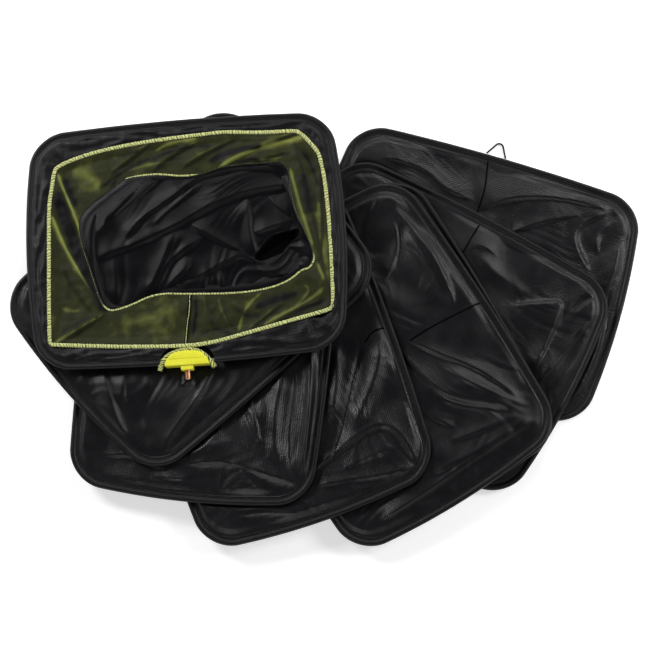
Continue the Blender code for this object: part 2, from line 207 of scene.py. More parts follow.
def outsideOf(number, xy):
    # Signed distance outside a frame's outer edge
    local = np.abs(toLocal(number, xy))
    reachX = halfLength + frameSizes["shortSideBow"] * np.clip(1 - (local[..., 1] / halfWidth) ** 2, 0, 1)
    reachY = halfWidth + frameSizes["longSideBow"] * np.clip(1 - (local[..., 0] / halfLength) ** 2, 0, 1)
    over = local - np.stack([reachX, reachY], axis=-1) + frameSizes["corner"]
    inside = np.minimum(over.max(axis=-1), 0)
    return np.linalg.norm(np.maximum(over, 0), axis=-1) + inside - frameSizes["corner"]


def smoothStep(values, low, high):
    share = np.clip((values - low) / (high - low), 0, 1)
    return share * share * (3 - 2 * share)


noise = {"cells": 64, "gain": 1.5, "crestDepth": 2.4}


def softNoise(points, size, seed):
    # Smooth gradient noise, about -1 to 1
    cells = noise["cells"]
    turns = np.random.default_rng(seed).uniform(0, 2 * pi, (cells, cells))
    spots = np.asarray(points) / size
    cell = np.floor(spots).astype(int)
    part = spots - cell
    fade = part ** 3 * (part * (part * 6 - 15) + 10)

    def corner(stepX, stepY):
        turn = turns[(cell[..., 0] + stepX) % cells, (cell[..., 1] + stepY) % cells]
        return np.cos(turn) * (part[..., 0] - stepX) + np.sin(turn) * (part[..., 1] - stepY)

    low = corner(0, 0) * (1 - fade[..., 0]) + corner(1, 0) * fade[..., 0]
    high = corner(0, 1) * (1 - fade[..., 0]) + corner(1, 1) * fade[..., 0]
    return noise["gain"] * (low * (1 - fade[..., 1]) + high * fade[..., 1])


def crestedNoise(points, size, seed, depth=noise["crestDepth"]):
    # The same noise folded up into sharp crests
    return 1 - depth * np.abs(softNoise(points, size, seed))


# Mesh helpers

mergeGap = 0.000002


def addPiece(name, mesh, finish, body=None):
    piece = bpy.data.objects.new(name, mesh)
    scene.collection.objects.link(piece)
    mesh.materials.append(finish["material"])
    if body:
        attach(piece, body)
    return piece


def meshFrom(shape, name):
    mesh = bpy.data.meshes.new(name)
    shape.to_mesh(mesh)
    shape.free()
    mesh.shade_smooth()
    return mesh


def gridMesh(name, points, uv, closedAcross=False, closedAround=True, faceUp=True):
    # A bmesh grid laid onto rows of points: the first index runs around, the second across
    if closedAround:
        points = np.concatenate([points, points[:1]])
        if len(uv) < len(points):
            uv = np.concatenate([uv, uv[:1]])
    if closedAcross:
        points = np.concatenate([points, points[:, :1]], axis=1)
    around, across = points.shape[0] - 1, points.shape[1] - 1
    shape = bmesh.new()
    bmesh.ops.create_grid(shape, x_segments=around, y_segments=across, size=1.0)
    mesh = meshFrom(shape, name)
    flat = np.zeros(len(mesh.vertices) * 3)
    mesh.vertices.foreach_get("co", flat)
    flat = flat.reshape(-1, 3)
    row = np.rint((flat[:, 0] + 1) / 2 * around).astype(int)
    column = np.rint((flat[:, 1] + 1) / 2 * across).astype(int)
    mesh.vertices.foreach_set("co", points[row, column].astype(np.float32).ravel())
    corners = np.zeros(len(mesh.loops), int)
    mesh.loops.foreach_get("vertex_index", corners)
    layer = mesh.uv_layers.new(name="cloth")
    layer.data.foreach_set("uv", uv[row[corners], column[corners]].astype(np.float32).ravel())
    shape = bmesh.new()
    shape.from_mesh(mesh)
    bpy.data.meshes.remove(mesh)
    bmesh.ops.remove_doubles(shape, verts=shape.verts, dist=mergeGap)
    shape.normal_update()
    if closedAround and closedAcross:
        bmesh.ops.recalc_face_normals(shape, faces=shape.faces)
    elif faceUp and sum(face.normal.z * face.calc_area() for face in shape.faces) < 0:
        bmesh.ops.reverse_faces(shape, faces=shape.faces)
    return meshFrom(shape, name)


def clothUv(around, across):
    return np.stack(np.meshgrid(around, across, indexing="ij"), axis=-1)


def thicken(piece):
    cloth = piece.modifiers.new("cloth", "SOLIDIFY")
    cloth.thickness = frameSizes["netCloth"]
    cloth.offset = 0.0
    return piece


def stripSize(points):
    # Flat size of a ring cut from cloth: its mean width and its mean length round
    following = np.roll(points, -1, axis=0)
    right = following[:, :-1] - points[:, :-1]
    inward = points[:, 1:] - points[:, :-1]
    diagonal = following[:, 1:] - points[:, :-1]
    area = np.linalg.norm(np.cross(right, diagonal), axis=-1).sum() / 2
    area += np.linalg.norm(np.cross(diagonal, inward), axis=-1).sum() / 2
    length = np.linalg.norm(following - points, axis=-1).sum(axis=0).mean()
    return float(area / length), float(length)


def tubeMesh(name, centres, normals, widths, heights, sides=10, closed=False):
    # A tube of oval section: widths lie across the line, heights along the normals
    run = np.roll(centres, -1, axis=0) - np.roll(centres, 1, axis=0)
    if not closed:
        run[0], run[-1] = centres[1] - centres[0], centres[-1] - centres[-2]
    run = unit(run)
    across = unit(np.cross(run, normals))
    up = np.cross(across, run)
    angles = np.linspace(0, 2 * pi, sides, endpoint=False)[None, :, None]
    widths, heights = np.broadcast_to(widths, len(centres)), np.broadcast_to(heights, len(centres))
    rings = (centres[:, None] + np.cos(angles) * across[:, None] * (widths / 2)[:, None, None]
             + np.sin(angles) * up[:, None] * (heights / 2)[:, None, None])
    steps = distancesAlong(centres)
    if closed:
        steps = np.append(steps, steps[-1] + np.linalg.norm(centres[0] - centres[-1]))
    girth = np.linspace(0, 1, sides + 1) * float(np.mean(widths) + np.mean(heights)) * pi / 2
    uv = clothUv(steps, girth)
    mesh = gridMesh(name, rings, uv, closedAcross=True, closedAround=closed, faceUp=False)
    if closed:
        return mesh
    shape = bmesh.new()
    shape.from_mesh(mesh)
    bmesh.ops.holes_fill(shape, edges=[edge for edge in shape.edges if edge.is_boundary], sides=sides)
    bmesh.ops.recalc_face_normals(shape, faces=shape.faces)
    return meshFrom(shape, name)


# Materials

def setInputs(tree, node, inputs):
    # Values or links, by the socket's name, or i and its number
    for key, value in inputs.items():
        socket = node.inputs[int(key[1:])] if key[1:].isdigit() else node.inputs[key.replace("_", " ")]
        if isinstance(value, bpy.types.NodeSocket):
            tree.links.new(value, socket)
        else:
            socket.default_value = (*value, 1) if socket.type == "RGBA" else value
    return node


def addNode(tree, kind, settings=None, **inputs):
    node = tree.nodes.new(kind)
    for key, value in (settings or {}).items():
        setattr(node, key, value)
    return setInputs(tree, node, inputs)


def addMath(tree, operation, *values):
    inputs = {f"i{index}": value for index, value in enumerate(values)}
    return addNode(tree, "ShaderNodeMath", {"operation": operation}, **inputs).outputs[0]


def addScaled(tree, value, factor, offset=0.0):
    return addMath(tree, "MULTIPLY_ADD", value, factor, offset)


def addWave(tree, value, length):
    return addMath(tree, "SINE", addMath(tree, "DIVIDE", addScaled(tree, value, 2 * pi), length))


def addMix(tree, factor, first, second):
    return addNode(tree, "ShaderNodeMix", {"data_type": "RGBA"}, i0=factor, i6=first, i7=second).outputs[2]


def addRange(tree, value, low, high, start=0.0, end=1.0):
    return addNode(tree, "ShaderNodeMapRange", Value=value, From_Min=low, From_Max=high, To_Min=start,
                   To_Max=end).outputs[0]


def addNoise(tree, spot, scale, detail, roughness=0.5):
    return addNode(tree, "ShaderNodeTexNoise", Vector=spot, Scale=scale, Detail=detail,
                   Roughness=roughness).outputs["Fac"]


def newMaterial(name):
    material = bpy.data.materials.new(name)
    material.use_nodes = True
    return material, material.node_tree


def finishedMaterial(material, values, colour, rough, height):
    tree = material.node_tree
    bump = addNode(tree, "ShaderNodeBump", Height=height, Strength=values["bump"], Distance=values["relief"])
    setInputs(tree, tree.nodes["Principled BSDF"], {
        "Base Color": colour, "Roughness": rough, "Normal": bump.outputs[0], "Metallic": values["metallic"],
        "Specular IOR Level": values["specular"], "Sheen Weight": values["sheen"],
    })
    return material


knitSizes = {
    "waver": 0.006, "waverScale": 60.0, "rowDepth": 0.35, "patchRoughness": 0.6, "grain": 0.15,
    "grainScale": 900.0, "thinPatch": 0.35, "thickPatch": 0.68,
}
knitSockets = {
    "INPUT": {"Coordinate": "Vector", "Rib": "Float", "Row": "Float", "Patch": "Float"},
    "OUTPUT": {"Height": "Float", "Patches": "Float", "Thread": "Float"},
}


def buildKnitGroup():
    # Knitted ribs and rows over a coordinate in metres, with broad uneven patches
    group, values = bpy.data.node_groups.new("knit", "ShaderNodeTree"), knitSizes
    for side, sockets in knitSockets.items():
        for socket, kind in sockets.items():
            group.interface.new_socket(socket, in_out=side, socket_type=f"NodeSocket{kind}")
    given = group.nodes.new("NodeGroupInput").outputs
    spot = given["Coordinate"]
    parts = addNode(group, "ShaderNodeSeparateXYZ", i0=spot).outputs
    across = addScaled(group, addNoise(group, spot, values["waverScale"], 2.0), values["waver"], parts[0])
    ribs = addMath(group, "ABSOLUTE", addWave(group, across, given["Rib"]))
    rows = addWave(group, parts[1], given["Row"])
    loops = addScaled(group, ribs, addScaled(group, rows, values["rowDepth"], 1 - values["rowDepth"]))
    patches = addNoise(group, spot, given["Patch"], 4.0, values["patchRoughness"])
    height = addScaled(group, addNoise(group, spot, values["grainScale"], 2.0), values["grain"], loops)
    made = {"Height": height, "Patches": patches, "Thread": loops}
    setInputs(group, group.nodes.new("NodeGroupOutput"), made)
    return group


def clothMaterial(name, values):
    material, tree = newMaterial(name)
    spot = addNode(tree, "ShaderNodeUVMap", {"uv_map": "cloth"}).outputs[0]
    knit = addNode(tree, "ShaderNodeGroup", {"node_tree": knitGroup}, Coordinate=spot, Rib=values["rib"],
                   Row=values["row"], Patch=values["patch"]).outputs
    spread = addRange(tree, knit["Patches"], knitSizes["thinPatch"], knitSizes["thickPatch"])
    base = addMix(tree, spread, values["dark"], values["light"])
    colour = addMix(tree, addScaled(tree, knit["Thread"], values["threadShare"]), base, values["thread"])
    if "doubledNetAndHighlight" in values:  # lighter for doubled net and painted highlights, darker for black net showing through and painted shade
        shade = addNode(tree, "ShaderNodeAttribute", {"attribute_name": "shade"}).outputs["Fac"]
        colour = addMix(tree, addMath(tree, "MAXIMUM", shade, 0.0), colour, values["doubledNetAndHighlight"])
        shadow = addMath(tree, "MAXIMUM", addScaled(tree, shade, -1.0), 0.0)
        colour = addMix(tree, shadow, colour, values["black"])
    rough = addScaled(tree, knit["Patches"], values["roughSpread"], values["roughness"])
    rough = addScaled(tree, knit["Thread"], -values["threadShine"], rough)
    return finishedMaterial(material, values, colour, rough, knit["Height"])


def threadMaterial(name, values):
    # Overlocked thread: slanted turns across the seam, dark where the cloth shows between them
    material, tree = newMaterial(name)
    spot = addNode(tree, "ShaderNodeUVMap", {"uv_map": "cloth"}).outputs[0]
    parts = addNode(tree, "ShaderNodeSeparateXYZ", i0=spot).outputs
    slant = addScaled(tree, parts[1], values["slant"], parts[0])
    slant = addScaled(tree, addNoise(tree, spot, values["waverScale"], 1.0), values["waver"], slant)
    share = addScaled(tree, addWave(tree, slant, values["pitch"]), 0.5, 0.5)
    cover = addRange(tree, share, values["gap"], values["gap"] + values["gapEdge"])
    fleck = addNoise(tree, spot, values["fleckScale"], 2.0)
    thread = addMix(tree, fleck, values["dark"], values["light"])
    colour = addMix(tree, cover, values["under"], thread)
    rough = addScaled(tree, fleck, values["roughSpread"], values["roughness"])
    height = addScaled(tree, fleck, values["fleckHeight"], share)
    return finishedMaterial(material, values, colour, rough, height)


def plainMaterial(name, values):
    # Moulded or turned surfaces: faint mottling, fine grain and rubbed patches
    material, tree = newMaterial(name)
    spot = addNode(tree, "ShaderNodeTexCoord").outputs["Object"]
    mottle = addNoise(tree, spot, values["mottle"], 4.0)
    colour = addMix(tree, mottle, values["dark"], values["light"])
    rough = addScaled(tree, mottle, values["roughSpread"], values["roughness"])
    return finishedMaterial(material, values, colour, rough, addNoise(tree, spot, values["grain"], 3.0))


def newFinish(name, slot, make, values):
    return {"material": make(name, values), "slot": slot}


plainLook = {
    "metallic": 0.0, "specular": 0.5, "sheen": 0.0, "bump": 1.0, "relief": 0.0002, "roughSpread": 0.2,
}
sleeveLook = {
    **plainLook, "dark": (0.0015, 0.0015, 0.002), "light": (0.003, 0.003, 0.004),
    "thread": (0.007, 0.007, 0.009), "threadShare": 0.5, "rib": 0.003, "row": 0.0022, "patch": 40.0,
    "roughness": 0.36, "threadShine": 0.1, "relief": 0.00014, "specular": 0.2,
}
netLook = {
    **plainLook, "dark": (0.0008, 0.0008, 0.0012), "light": (0.002, 0.002, 0.003),
    "thread": (0.0055, 0.0055, 0.0075), "threadShare": 0.7, "rib": 0.0038, "row": 0.0032, "patch": 30.0,
    "roughness": 0.33, "threadShine": 0.18, "relief": 0.00017, "specular": 0.3,
}
limeLook = {
    **netLook, "dark": (0.009, 0.01, 0.003), "light": (0.018, 0.02, 0.005), "thread": (0.046, 0.052, 0.012),
    "threadShare": 0.6, "patch": 34.0, "roughness": 0.48, "threadShine": 0.1, "relief": 0.00018,
    # The lighter lime stands for doubled net and painted highlights; the near black stands for black net
    # showing through and painted shade
    "specular": 0.12, "doubledNetAndHighlight": (0.2, 0.22, 0.05), "black": (0.0015, 0.0015, 0.0015),
}
# A darker copy of the net for the mouth: painted shade of the mouth's depth, with less gloss
shadedNetLook = {**netLook, "specular": 0.13, "thread": (0.002, 0.002, 0.003)}
seamLook = {
    **plainLook, "slant": 0.35, "waver": 0.011, "waverScale": 90.0, "pitch": 0.0044, "gap": 0.06,
    "gapEdge": 0.25, "dark": (0.36, 0.39, 0.1), "light": (0.78, 0.81, 0.34), "under": (0.1, 0.11, 0.03),
    "fleckScale": 700.0, "fleckHeight": 0.4, "roughness": 0.55, "bump": 0.9, "relief": 0.0006, "sheen": 0.25,
}
bindingLook = {
    **seamLook, "slant": 1.1, "waver": 0.013, "pitch": 0.005, "gap": 0.22,
    "dark": (0.4, 0.44, 0.08), "light": (0.72, 0.76, 0.22), "under": (0.02, 0.022, 0.01),
}
blockLook = {
    **plainLook, "dark": (0.7, 0.68, 0.02), "light": (0.86, 0.84, 0.045), "mottle": 60.0, "grain": 1800.0,
    "roughness": 0.3, "bump": 0.25,
}
studLook = {
    **plainLook, "dark": (0.52, 0.27, 0.14), "light": (0.74, 0.44, 0.26), "mottle": 260.0, "grain": 2500.0,
    "roughness": 0.22, "roughSpread": 0.22, "bump": 0.2, "metallic": 1.0,
}
wireLook = {
    **plainLook, "dark": (0.42, 0.42, 0.43), "light": (0.62, 0.62, 0.63), "mottle": 120.0, "grain": 2200.0,
    "roughness": 0.28, "roughSpread": 0.25, "bump": 0.2, "metallic": 1.0,
}
stitchLook = {
    **plainLook, "dark": (0.01, 0.01, 0.012), "light": (0.035, 0.035, 0.04), "mottle": 300.0,
    "grain": 2000.0, "roughness": 0.55, "bump": 0.3,
}
# Seams darker and duller than the cloth: black thread, with painted shade standing for the seam's groove
seamBlackAndShadeLook = {
    **stitchLook, "dark": (0.0005, 0.0005, 0.0006), "light": (0.0015, 0.0015, 0.0018), "roughness": 0.75,
    "specular": 0.04,
}

knitGroup = buildKnitGroup()
shadedMouthNet = newFinish("black net with painted shade in the mouth", "black_net", clothMaterial, shadedNetLook)
blackCloth = newFinish("black sleeve cloth", "black_cloth", clothMaterial, sleeveLook)
blackNet = newFinish("black knitted net", "black_net", clothMaterial, netLook)
limeNet = newFinish("lime knitted net", "lime_net", clothMaterial, limeLook)
limeSeam = newFinish("lime overlock", "lime_thread", threadMaterial, seamLook)
limeBinding = newFinish("lime binding", "lime_thread", threadMaterial, bindingLook)
limePlastic = newFinish("lime moulding", "lime_plastic", plainMaterial, blockLook)
copperyBrass = newFinish("coppery brass", "brass", plainMaterial, studLook)
drawnSteel = newFinish("drawn steel", "bright_steel", plainMaterial, wireLook)
stitchThread = newFinish("grey stitching", "black_cloth", plainMaterial, stitchLook)
shadedBlackThread = newFinish("black seam with painted shade", "black_cloth", plainMaterial, seamBlackAndShadeLook)

for number in range(1, 9):
    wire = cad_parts[f"frame_{number}_wire"]
    wire.data.materials.clear()
    wire.data.materials.append(drawnSteel["material"])
print("materials built")

# Pull loop: a limp cord sewn to the base sleeve at both ends, on the part's own route

pullLoop = {
    "diameter": 0.003, "start": 0.025, "end": -0.0075, "tip": 0.007, "reach": 0.03, "bend": 0.0062,
    "clothGap": 0.0003, "beadHalfHeight": 0.0038, "legPoints": 5, "bendPoints": 7, "points": 60, "sides": 12,
}


def pullLoopPoints():
    values = pullLoop
    edge = -wireLine - frameSizes["wireInset"] - values["clothGap"]
    tip = Vector((values["tip"], edge - values["reach"]))
    ends = []
    for x in (values["start"], values["end"]):
        lean = (tip - Vector((x, edge))).normalized()
        ends.append(Vector((x, edge)) + lean * abs(lean.x) * values["diameter"])
    leave, arrive = (tip - ends[0]).normalized(), (ends[1] - tip).normalized()
    turn = leave.angle_signed(arrive)
    tangent = values["bend"] * tan(abs(turn) / 2)
    first, last = tip - leave * tangent, tip + arrive * tangent
    legs, bends = values["legPoints"], values["bendPoints"]
    spots = [ends[0].lerp(first, step / (legs - 1)) for step in range(legs)]
    side = Vector((-leave.y, leave.x)) * (values["bend"] if turn < 0 else -values["bend"])
    for step in range(1, bends - 1):
        spots.append(first + side - Matrix.Rotation(-turn * step / (bends - 1), 2) @ side)
    spots += [last.lerp(ends[1], step / (legs - 1)) for step in range(legs)]
    drop = values["beadHalfHeight"] - values["diameter"] / 2 - values["clothGap"]
    heights = [-drop * sin(pi * index / (len(spots) - 1)) for index in range(len(spots))]
    return onFrame(8, np.array(spots), np.array(heights))


loopLine = resampled(roundedLine(pullLoopPoints()), pullLoop["points"], closed=False)
loopNormals = np.tile(places[8]["normal"], (pullLoop["points"], 1))
loopMesh = tubeMesh("base_pull_loop", loopLine, loopNormals, pullLoop["diameter"], pullLoop["diameter"],
                    sides=pullLoop["sides"])
loopPiece = addPiece("base_pull_loop", loopMesh, blackCloth, "base_frame")
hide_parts("pull_loop")
print("pull loop laid")

# Sleeves: cloth folded round the wire, a flat sewn band inside it

sleeve = {
    "points": 640, "length": 1.7, "pucker": 0.00035, "puckerSize": 0.007, "broadPucker": 0.00028,
    "broadSize": 0.031, "bandPuff": 0.00025, "edgeRound": 0.0012, "edgeWidth": 0.005, "edgeWave": 0.0006,
    "edgeWaveSize": 0.012, "neckInset": 0.0088, "neckRound": 0.0006, "neckWidth": 0.003, "beadOval": 1.08,
    "bandStart": (0.0085, 0.012), "neckShare": 0.35, "waveStart": 0.008, "underShare": 0.6,
    "beadAngles": (150, 125, 100, 75, 50, 25), "shares": (0.5,),
    "collarShares": (0.88, 0.75, 0.63, 0.5, 0.37, 0.25, 0.12),
}
collarGather = {
    "mean": 0.0011, "swing": 0.0016, "size": 0.013, "patchSize": 0.09, "wrinkleSize": 0.01,
    "wrinkles": ((0.0019, (0.16, 1.5), 15), (0.0009, (0.13, 2.9), 17)),
    "start": (0.0085, 0.016), "end": (0.026, 0.034), "endShare": 0.8, "underShare": -0.6,
}
stitch = {
    "inset": 0.0112, "height": 0.0023, "collarInset": 0.0115, "collarHeight": 0.0015, "clear": 0.046,
    "pitch": 0.0046, "length": 0.003, "width": 0.0009, "rise": 0.00075, "round": 1.62, "linePoints": 2000,
}


def sleeveSection(width):
    # Half of the section from the band's inner edge to the bead's outer side, as inset and height
    band, radius = frameSizes["bandHalf"], frameSizes["beadRadius"]
    neck, puffed = sleeve["neckInset"], band + sleeve["bandPuff"]
    inner, outer = width - sleeve["edgeWidth"], neck + sleeve["neckWidth"]
    points = [(width, band * 0.55), (width - sleeve["edgeRound"], band), (inner, puffed)]
    shares = sleeve["collarShares"] if width == frameSizes["collarWidth"] else sleeve["shares"]
    points += [(outer + (inner - outer) * share, puffed) for share in shares]
    points += [(outer, band + 0.0001), (neck + sleeve["neckRound"], band)]
    for angle in sleeve["beadAngles"]:
        inset = frameSizes["wireInset"] - radius * sleeve["beadOval"] * cos(radians(angle))
        points.append((inset, radius * sin(radians(angle))))
    return points


def collarGathers(spots, inset):
    # The wide collar is gathered more
    values = collarGather
    wide = smoothStep(inset, *values["start"]) * (1 - values["endShare"] * smoothStep(inset, *values["end"]))
    uneven = 0.4 + 0.6 * np.abs(softNoise(spots * (1, 0), values["patchSize"], 16))
    ripple = values["mean"] + values["swing"] * softNoise(spots * (1, 0.3), values["size"], 14) * uneven
    for height, stretch, seed in values["wrinkles"]:
        ripple += height * crestedNoise(spots * stretch, values["wrinkleSize"], seed)
    return ripple * wide


def sleeveMesh(name, number, width, extra=0.0):
    # extra: how much wider than its set width the band is at each point round the frame
    count = sleeve["points"]
    loop, outward = frameOutline(count)
    half = sleeveSection(width)
    outer = (frameSizes["wireInset"] - frameSizes["beadRadius"] * sleeve["beadOval"], 0.0)
    section = np.array(half + [outer] + [(inset, -height) for inset, height in half[::-1]])
    steps = np.arange(count) * sleeve["length"] / count
    rings, heights = [], []
    for inset, height in section:
        band = smoothStep(inset, *sleeve["bandStart"])
        band = sleeve["neckShare"] + (1 - sleeve["neckShare"]) * band
        spots = np.stack([steps, np.full(count, inset * 0.6 + number)], axis=1)
        ripple = softNoise(spots, sleeve["puckerSize"], 11) * sleeve["pucker"] * band
        ripple += softNoise(spots, sleeve["broadSize"], 12) * sleeve["broadPucker"]
        if np.any(extra):
            ripple += collarGathers(spots, inset) * (1 if height >= 0 else collarGather["underShare"])
        wave = softNoise(spots, sleeve["edgeWaveSize"], 13) * sleeve["edgeWave"]
        wave = wave * smoothStep(inset, width - sleeve["waveStart"], width)
        wave = wave + extra * smoothStep(inset, sleeve["bandStart"][1], width)
        rings.append(loop - outward * (inset + wave)[:, None])
        heights.append(height + ripple * (1 if height >= 0 else sleeve["underShare"]))
    points = onFrame(number, np.stack(rings, axis=1), np.stack(heights, axis=1))
    girth = distancesAlong(section)
    girth = np.append(girth, girth[-1] + 2 * half[0][1])
    return gridMesh(name, points, clothUv(np.append(steps, sleeve["length"]), girth), closedAcross=True)


def stitchMesh(name, number, inset, height, skip=None):
    # One small bead of thread for each stitch
    loop, outward = frameOutline(stitch["linePoints"])
    line = resampled(loop - outward * inset, int(stitch["round"] / stitch["pitch"]))
    line = onFrame(number, line, height)
    normal = Vector(places[number]["normal"])
    size = Matrix.Diagonal((stitch["length"] / 2, stitch["width"] / 2, stitch["rise"] / 2, 1))
    shape = bmesh.new()
    for spot, following in zip(line, np.roll(line, -1, axis=0)):
        if skip and skip(spot):
            continue
        along = Vector(following - spot).normalized()
        turn = Matrix((along, normal.cross(along), normal)).transposed().to_4x4()
        bmesh.ops.create_icosphere(shape, subdivisions=1, radius=1.0,
                                   matrix=Matrix.Translation(spot) @ turn @ size)
    return meshFrom(shape, name)


for number in range(2, 9):
    name = f"sleeve_{number}"
    mesh = sleeveMesh(name, number, frameSizes["sleeveWidth"])
    addPiece(name, mesh, blackCloth, bodyOf(number))
    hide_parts(f"frame_{number}_sleeve")
    stitches = stitchMesh(f"{name}_stitches", number, stitch["inset"], stitch["height"])
    addPiece(f"{name}_stitches", stitches, stitchThread, bodyOf(number))
print("sleeves sewn")

# Net sheets

netSheet = {
    "around": 500, "across": 68, "upperAcross": 16, "startInset": 0.0125, "upperHole": 0.038,
    "lowerHole": 0.04, "limeLap": 0.002, "floor": -0.0006, "underFrame": 0.0049, "capEase": 0.0015,
    "beyondSlope": 1.1, "gather": 0.0006, "gatherSize": 0.011, "gatherReach": 0.014, "overBand": 0.0006,
    "tuck": 0.8, "rollEdge": 0.006, "broad": 0.006, "broadSize": 0.08, "broadLift": 0.4,
    "fine": 0.0007, "fineAcross": 0.022, "fineAlong": 0.15, "sag": 0.0006, "sagSize": 0.03,
    "gatherStart": 0.004, "rimEase": 0.014, "holeEase": 0.01, "bandEdge": (0.01, 0.016),
    "beyondStart": 0.001, "sagEase": 0.008,
}
crease = {
    "slope": 4.2, "ends": 0.03, "edge": 0.0009, "start": -0.004, "waver": 0.3, "waverSize": 0.05,
    "steep": 0.0012, "steepShare": 0.32, "endShare": 0.35, "sideEdge": 0.00002,
}
longCrease = {
    "warp": 0.55, "warpSize": 0.11, "radius": 0.17, "still": 0.1, "fadeReach": (0.05, 0.15),
    "layers": ((1.0, 1.0, 0.88), (0.45, 0.6, 0.12)),
}


def sheetAngles(count):
    return np.linspace(-pi, pi, count, endpoint=False)


def circle(angles):
    return np.stack([np.cos(angles), np.sin(angles)], axis=1)


def reachOf(loop, centre, angles):
    # How far the loop lies from the centre in each direction
    offset = loop[:, :2] - centre
    bearing = np.arctan2(offset[:, 1], offset[:, 0])
    order = np.argsort(bearing)
    return np.interp(angles, bearing[order], np.linalg.norm(offset, axis=1)[order], period=2 * pi)


def insetReach(number, inset, centre, angles):
    return reachOf(onFrame(number, insetLoop(netSheet[inset])), centre, angles)


def smoothAround(values, width):
    spots = np.arange(-3 * width, 3 * width + 1)
    weights = np.exp(-(spots / width) ** 2)
    return sum(np.roll(values, spot) * weight for spot, weight in zip(spots, weights)) / weights.sum()


def creaseField(xy, lines, number, spread=crease["slope"], ends=crease["ends"], edge=crease["edge"]):
    # Tucks in the cloth: a crest along each line, a long slope on one side, a steep one on its lower right.
    # Each line is (pixels, height, width) in mm. A spread of 1 makes both sides alike.
    field = np.zeros(xy.shape[:-1])
    for pixels, height, width in lines:
        line = roundedLine(pixelToFrame(number, pixels)[:, :2])
        chord = line[-1] - line[0]
        facing = 1 if chord[1] * 0.5 + chord[0] * 0.85 > 0 else -1
        steps = distancesAlong(line)
        nearest, along, side = np.full(field.shape, np.inf), np.zeros(field.shape), np.zeros(field.shape)
        for index in range(len(line) - 1):
            run = line[index + 1] - line[index]
            offset = xy - line[index]
            share = np.clip((offset @ run) / (run @ run), 0, 1)
            gap = np.linalg.norm(offset - share[..., None] * run, axis=-1)
            closer = gap < nearest
            nearest = np.where(closer, gap, nearest)
            along = np.where(closer, steps[index] + share * np.linalg.norm(run), along)
            side = np.where(closer, run[0] * offset[..., 1] - run[1] * offset[..., 0], side)
        high, wide = height / 1000, width / 1000
        longSide = wide * spread * (1 + crease["waver"] * softNoise(xy, crease["waverSize"], 7))
        steepSide = crease["steep"] + crease["steepShare"] * high if spread > 1 else wide * spread
        share = smoothStep(side * facing, -crease["sideEdge"], crease["sideEdge"])
        taper = smoothStep(along, crease["start"], ends)
        taper = taper * smoothStep(steps[-1] - along, crease["start"], ends)
        reach = steepSide + (longSide - steepSide) * share
        reach = reach * (crease["endShare"] + (1 - crease["endShare"]) * taper)
        fall = np.exp(-(np.sqrt(nearest ** 2 + edge ** 2) - edge) / reach)
        field = np.maximum(field, high * taper * fall)
    return field


def foldField(xy, folds, number, tuck=1.0):
    ridges = tuck * creaseField(xy, folds.get("ridges", []), number)
    return ridges - creaseField(xy, folds.get("valleys", []), number, 1.0)


def longCreases(xy, hub, seed, values):
    # Sharp-crested noise drawn out along the lines to a hub
    offset = xy - pixelToFrame(*hub)[:2]
    warp = softNoise(xy, longCrease["warpSize"], seed) * longCrease["warp"]
    bearing = (np.arctan2(offset[..., 1], offset[..., 0]) + warp) * longCrease["radius"]
    reach = np.linalg.norm(offset, axis=-1)
    creases = 0.0
    for layer, (narrow, short, share) in enumerate(longCrease["layers"], 1):
        across, along = bearing / (values["fineAcross"] * narrow), reach / (values["fineAlong"] * short)
        creases = creases + share * crestedNoise(np.stack([across, along], axis=-1), 1.0, seed + layer)
    fade = smoothStep(reach, *longCrease["fadeReach"])
    return values["fine"] * creases * (longCrease["still"] + (1 - longCrease["still"]) * fade)


studRoom = {"middle": -0.005, "halfWidth": 0.006, "reach": 0.031, "drop": 0.018, "slope": 0.7}


def foldHeights(number, xy, outerGap, innerGap, upperFrames):
    # How high the lower sheet stands over its frame, between its seam and the hole
    values, folds = netSheet, foldsOf[number]
    seed = 20 + number
    heights = foldField(xy, folds, number, values["tuck"])
    heights += creaseField(xy, folds.get("rolls", []), number, 1.0, edge=values["rollEdge"])
    heights += values["broad"] * (values["broadLift"] + softNoise(xy, values["broadSize"], seed))
    heights += longCreases(xy, (number, folds["hub"]), seed + 10, values)
    local = toLocal(number, xy)
    bearing = np.arctan2(local[..., 1], local[..., 0]) * 0.25
    spots = np.stack([bearing, np.full(bearing.shape, 0.37)], axis=-1)
    rimward = np.exp(-np.maximum(outerGap - values["gatherStart"], 0) / values["gatherReach"])
    heights += values["gather"] * softNoise(spots, values["gatherSize"], seed + 30) * rimward
    heights *= smoothStep(outerGap, 0.0, values["rimEase"]) * smoothStep(innerGap, 0.0, values["holeEase"])
    heights = np.maximum(heights, values["floor"])
    onBand = 1 - smoothStep(outerGap, *values["bandEdge"])
    heights = np.maximum(heights, values["overBand"] * onBand + values["floor"] * (1 - onBand))
    base = planeHeight(number, xy) + frameSizes["netOffset"]
    for upper in upperFrames:  # the folds ease off under the frames above
        room = planeHeight(upper, xy) - values["underFrame"] - base
        beyond = np.maximum(outsideOf(upper, xy) - values["beyondStart"], 0)
        room = room + beyond * values["beyondSlope"]
        over = (heights - room + values["capEase"]) / values["capEase"]
        eased = room - values["capEase"] * np.exp(-np.clip(over, 0, 40))
        heights = np.where(over > 0, eased, heights)
    if number == 2:  # room for the stud to swing down in
        offset = toLocal(1, xy) - (studRoom["middle"], -wireLine)
        beside = np.maximum(np.abs(offset[..., 0]) - studRoom["halfWidth"], 0)
        beyond = np.maximum(-studRoom["reach"] - offset[..., 1], 0) + np.maximum(offset[..., 1], 0)
        room = planeHeight(1, xy) - base - studRoom["drop"] + studRoom["slope"] * np.hypot(beside, beyond)
        heights = np.minimum(heights, np.maximum(room, values["floor"]))
    return heights


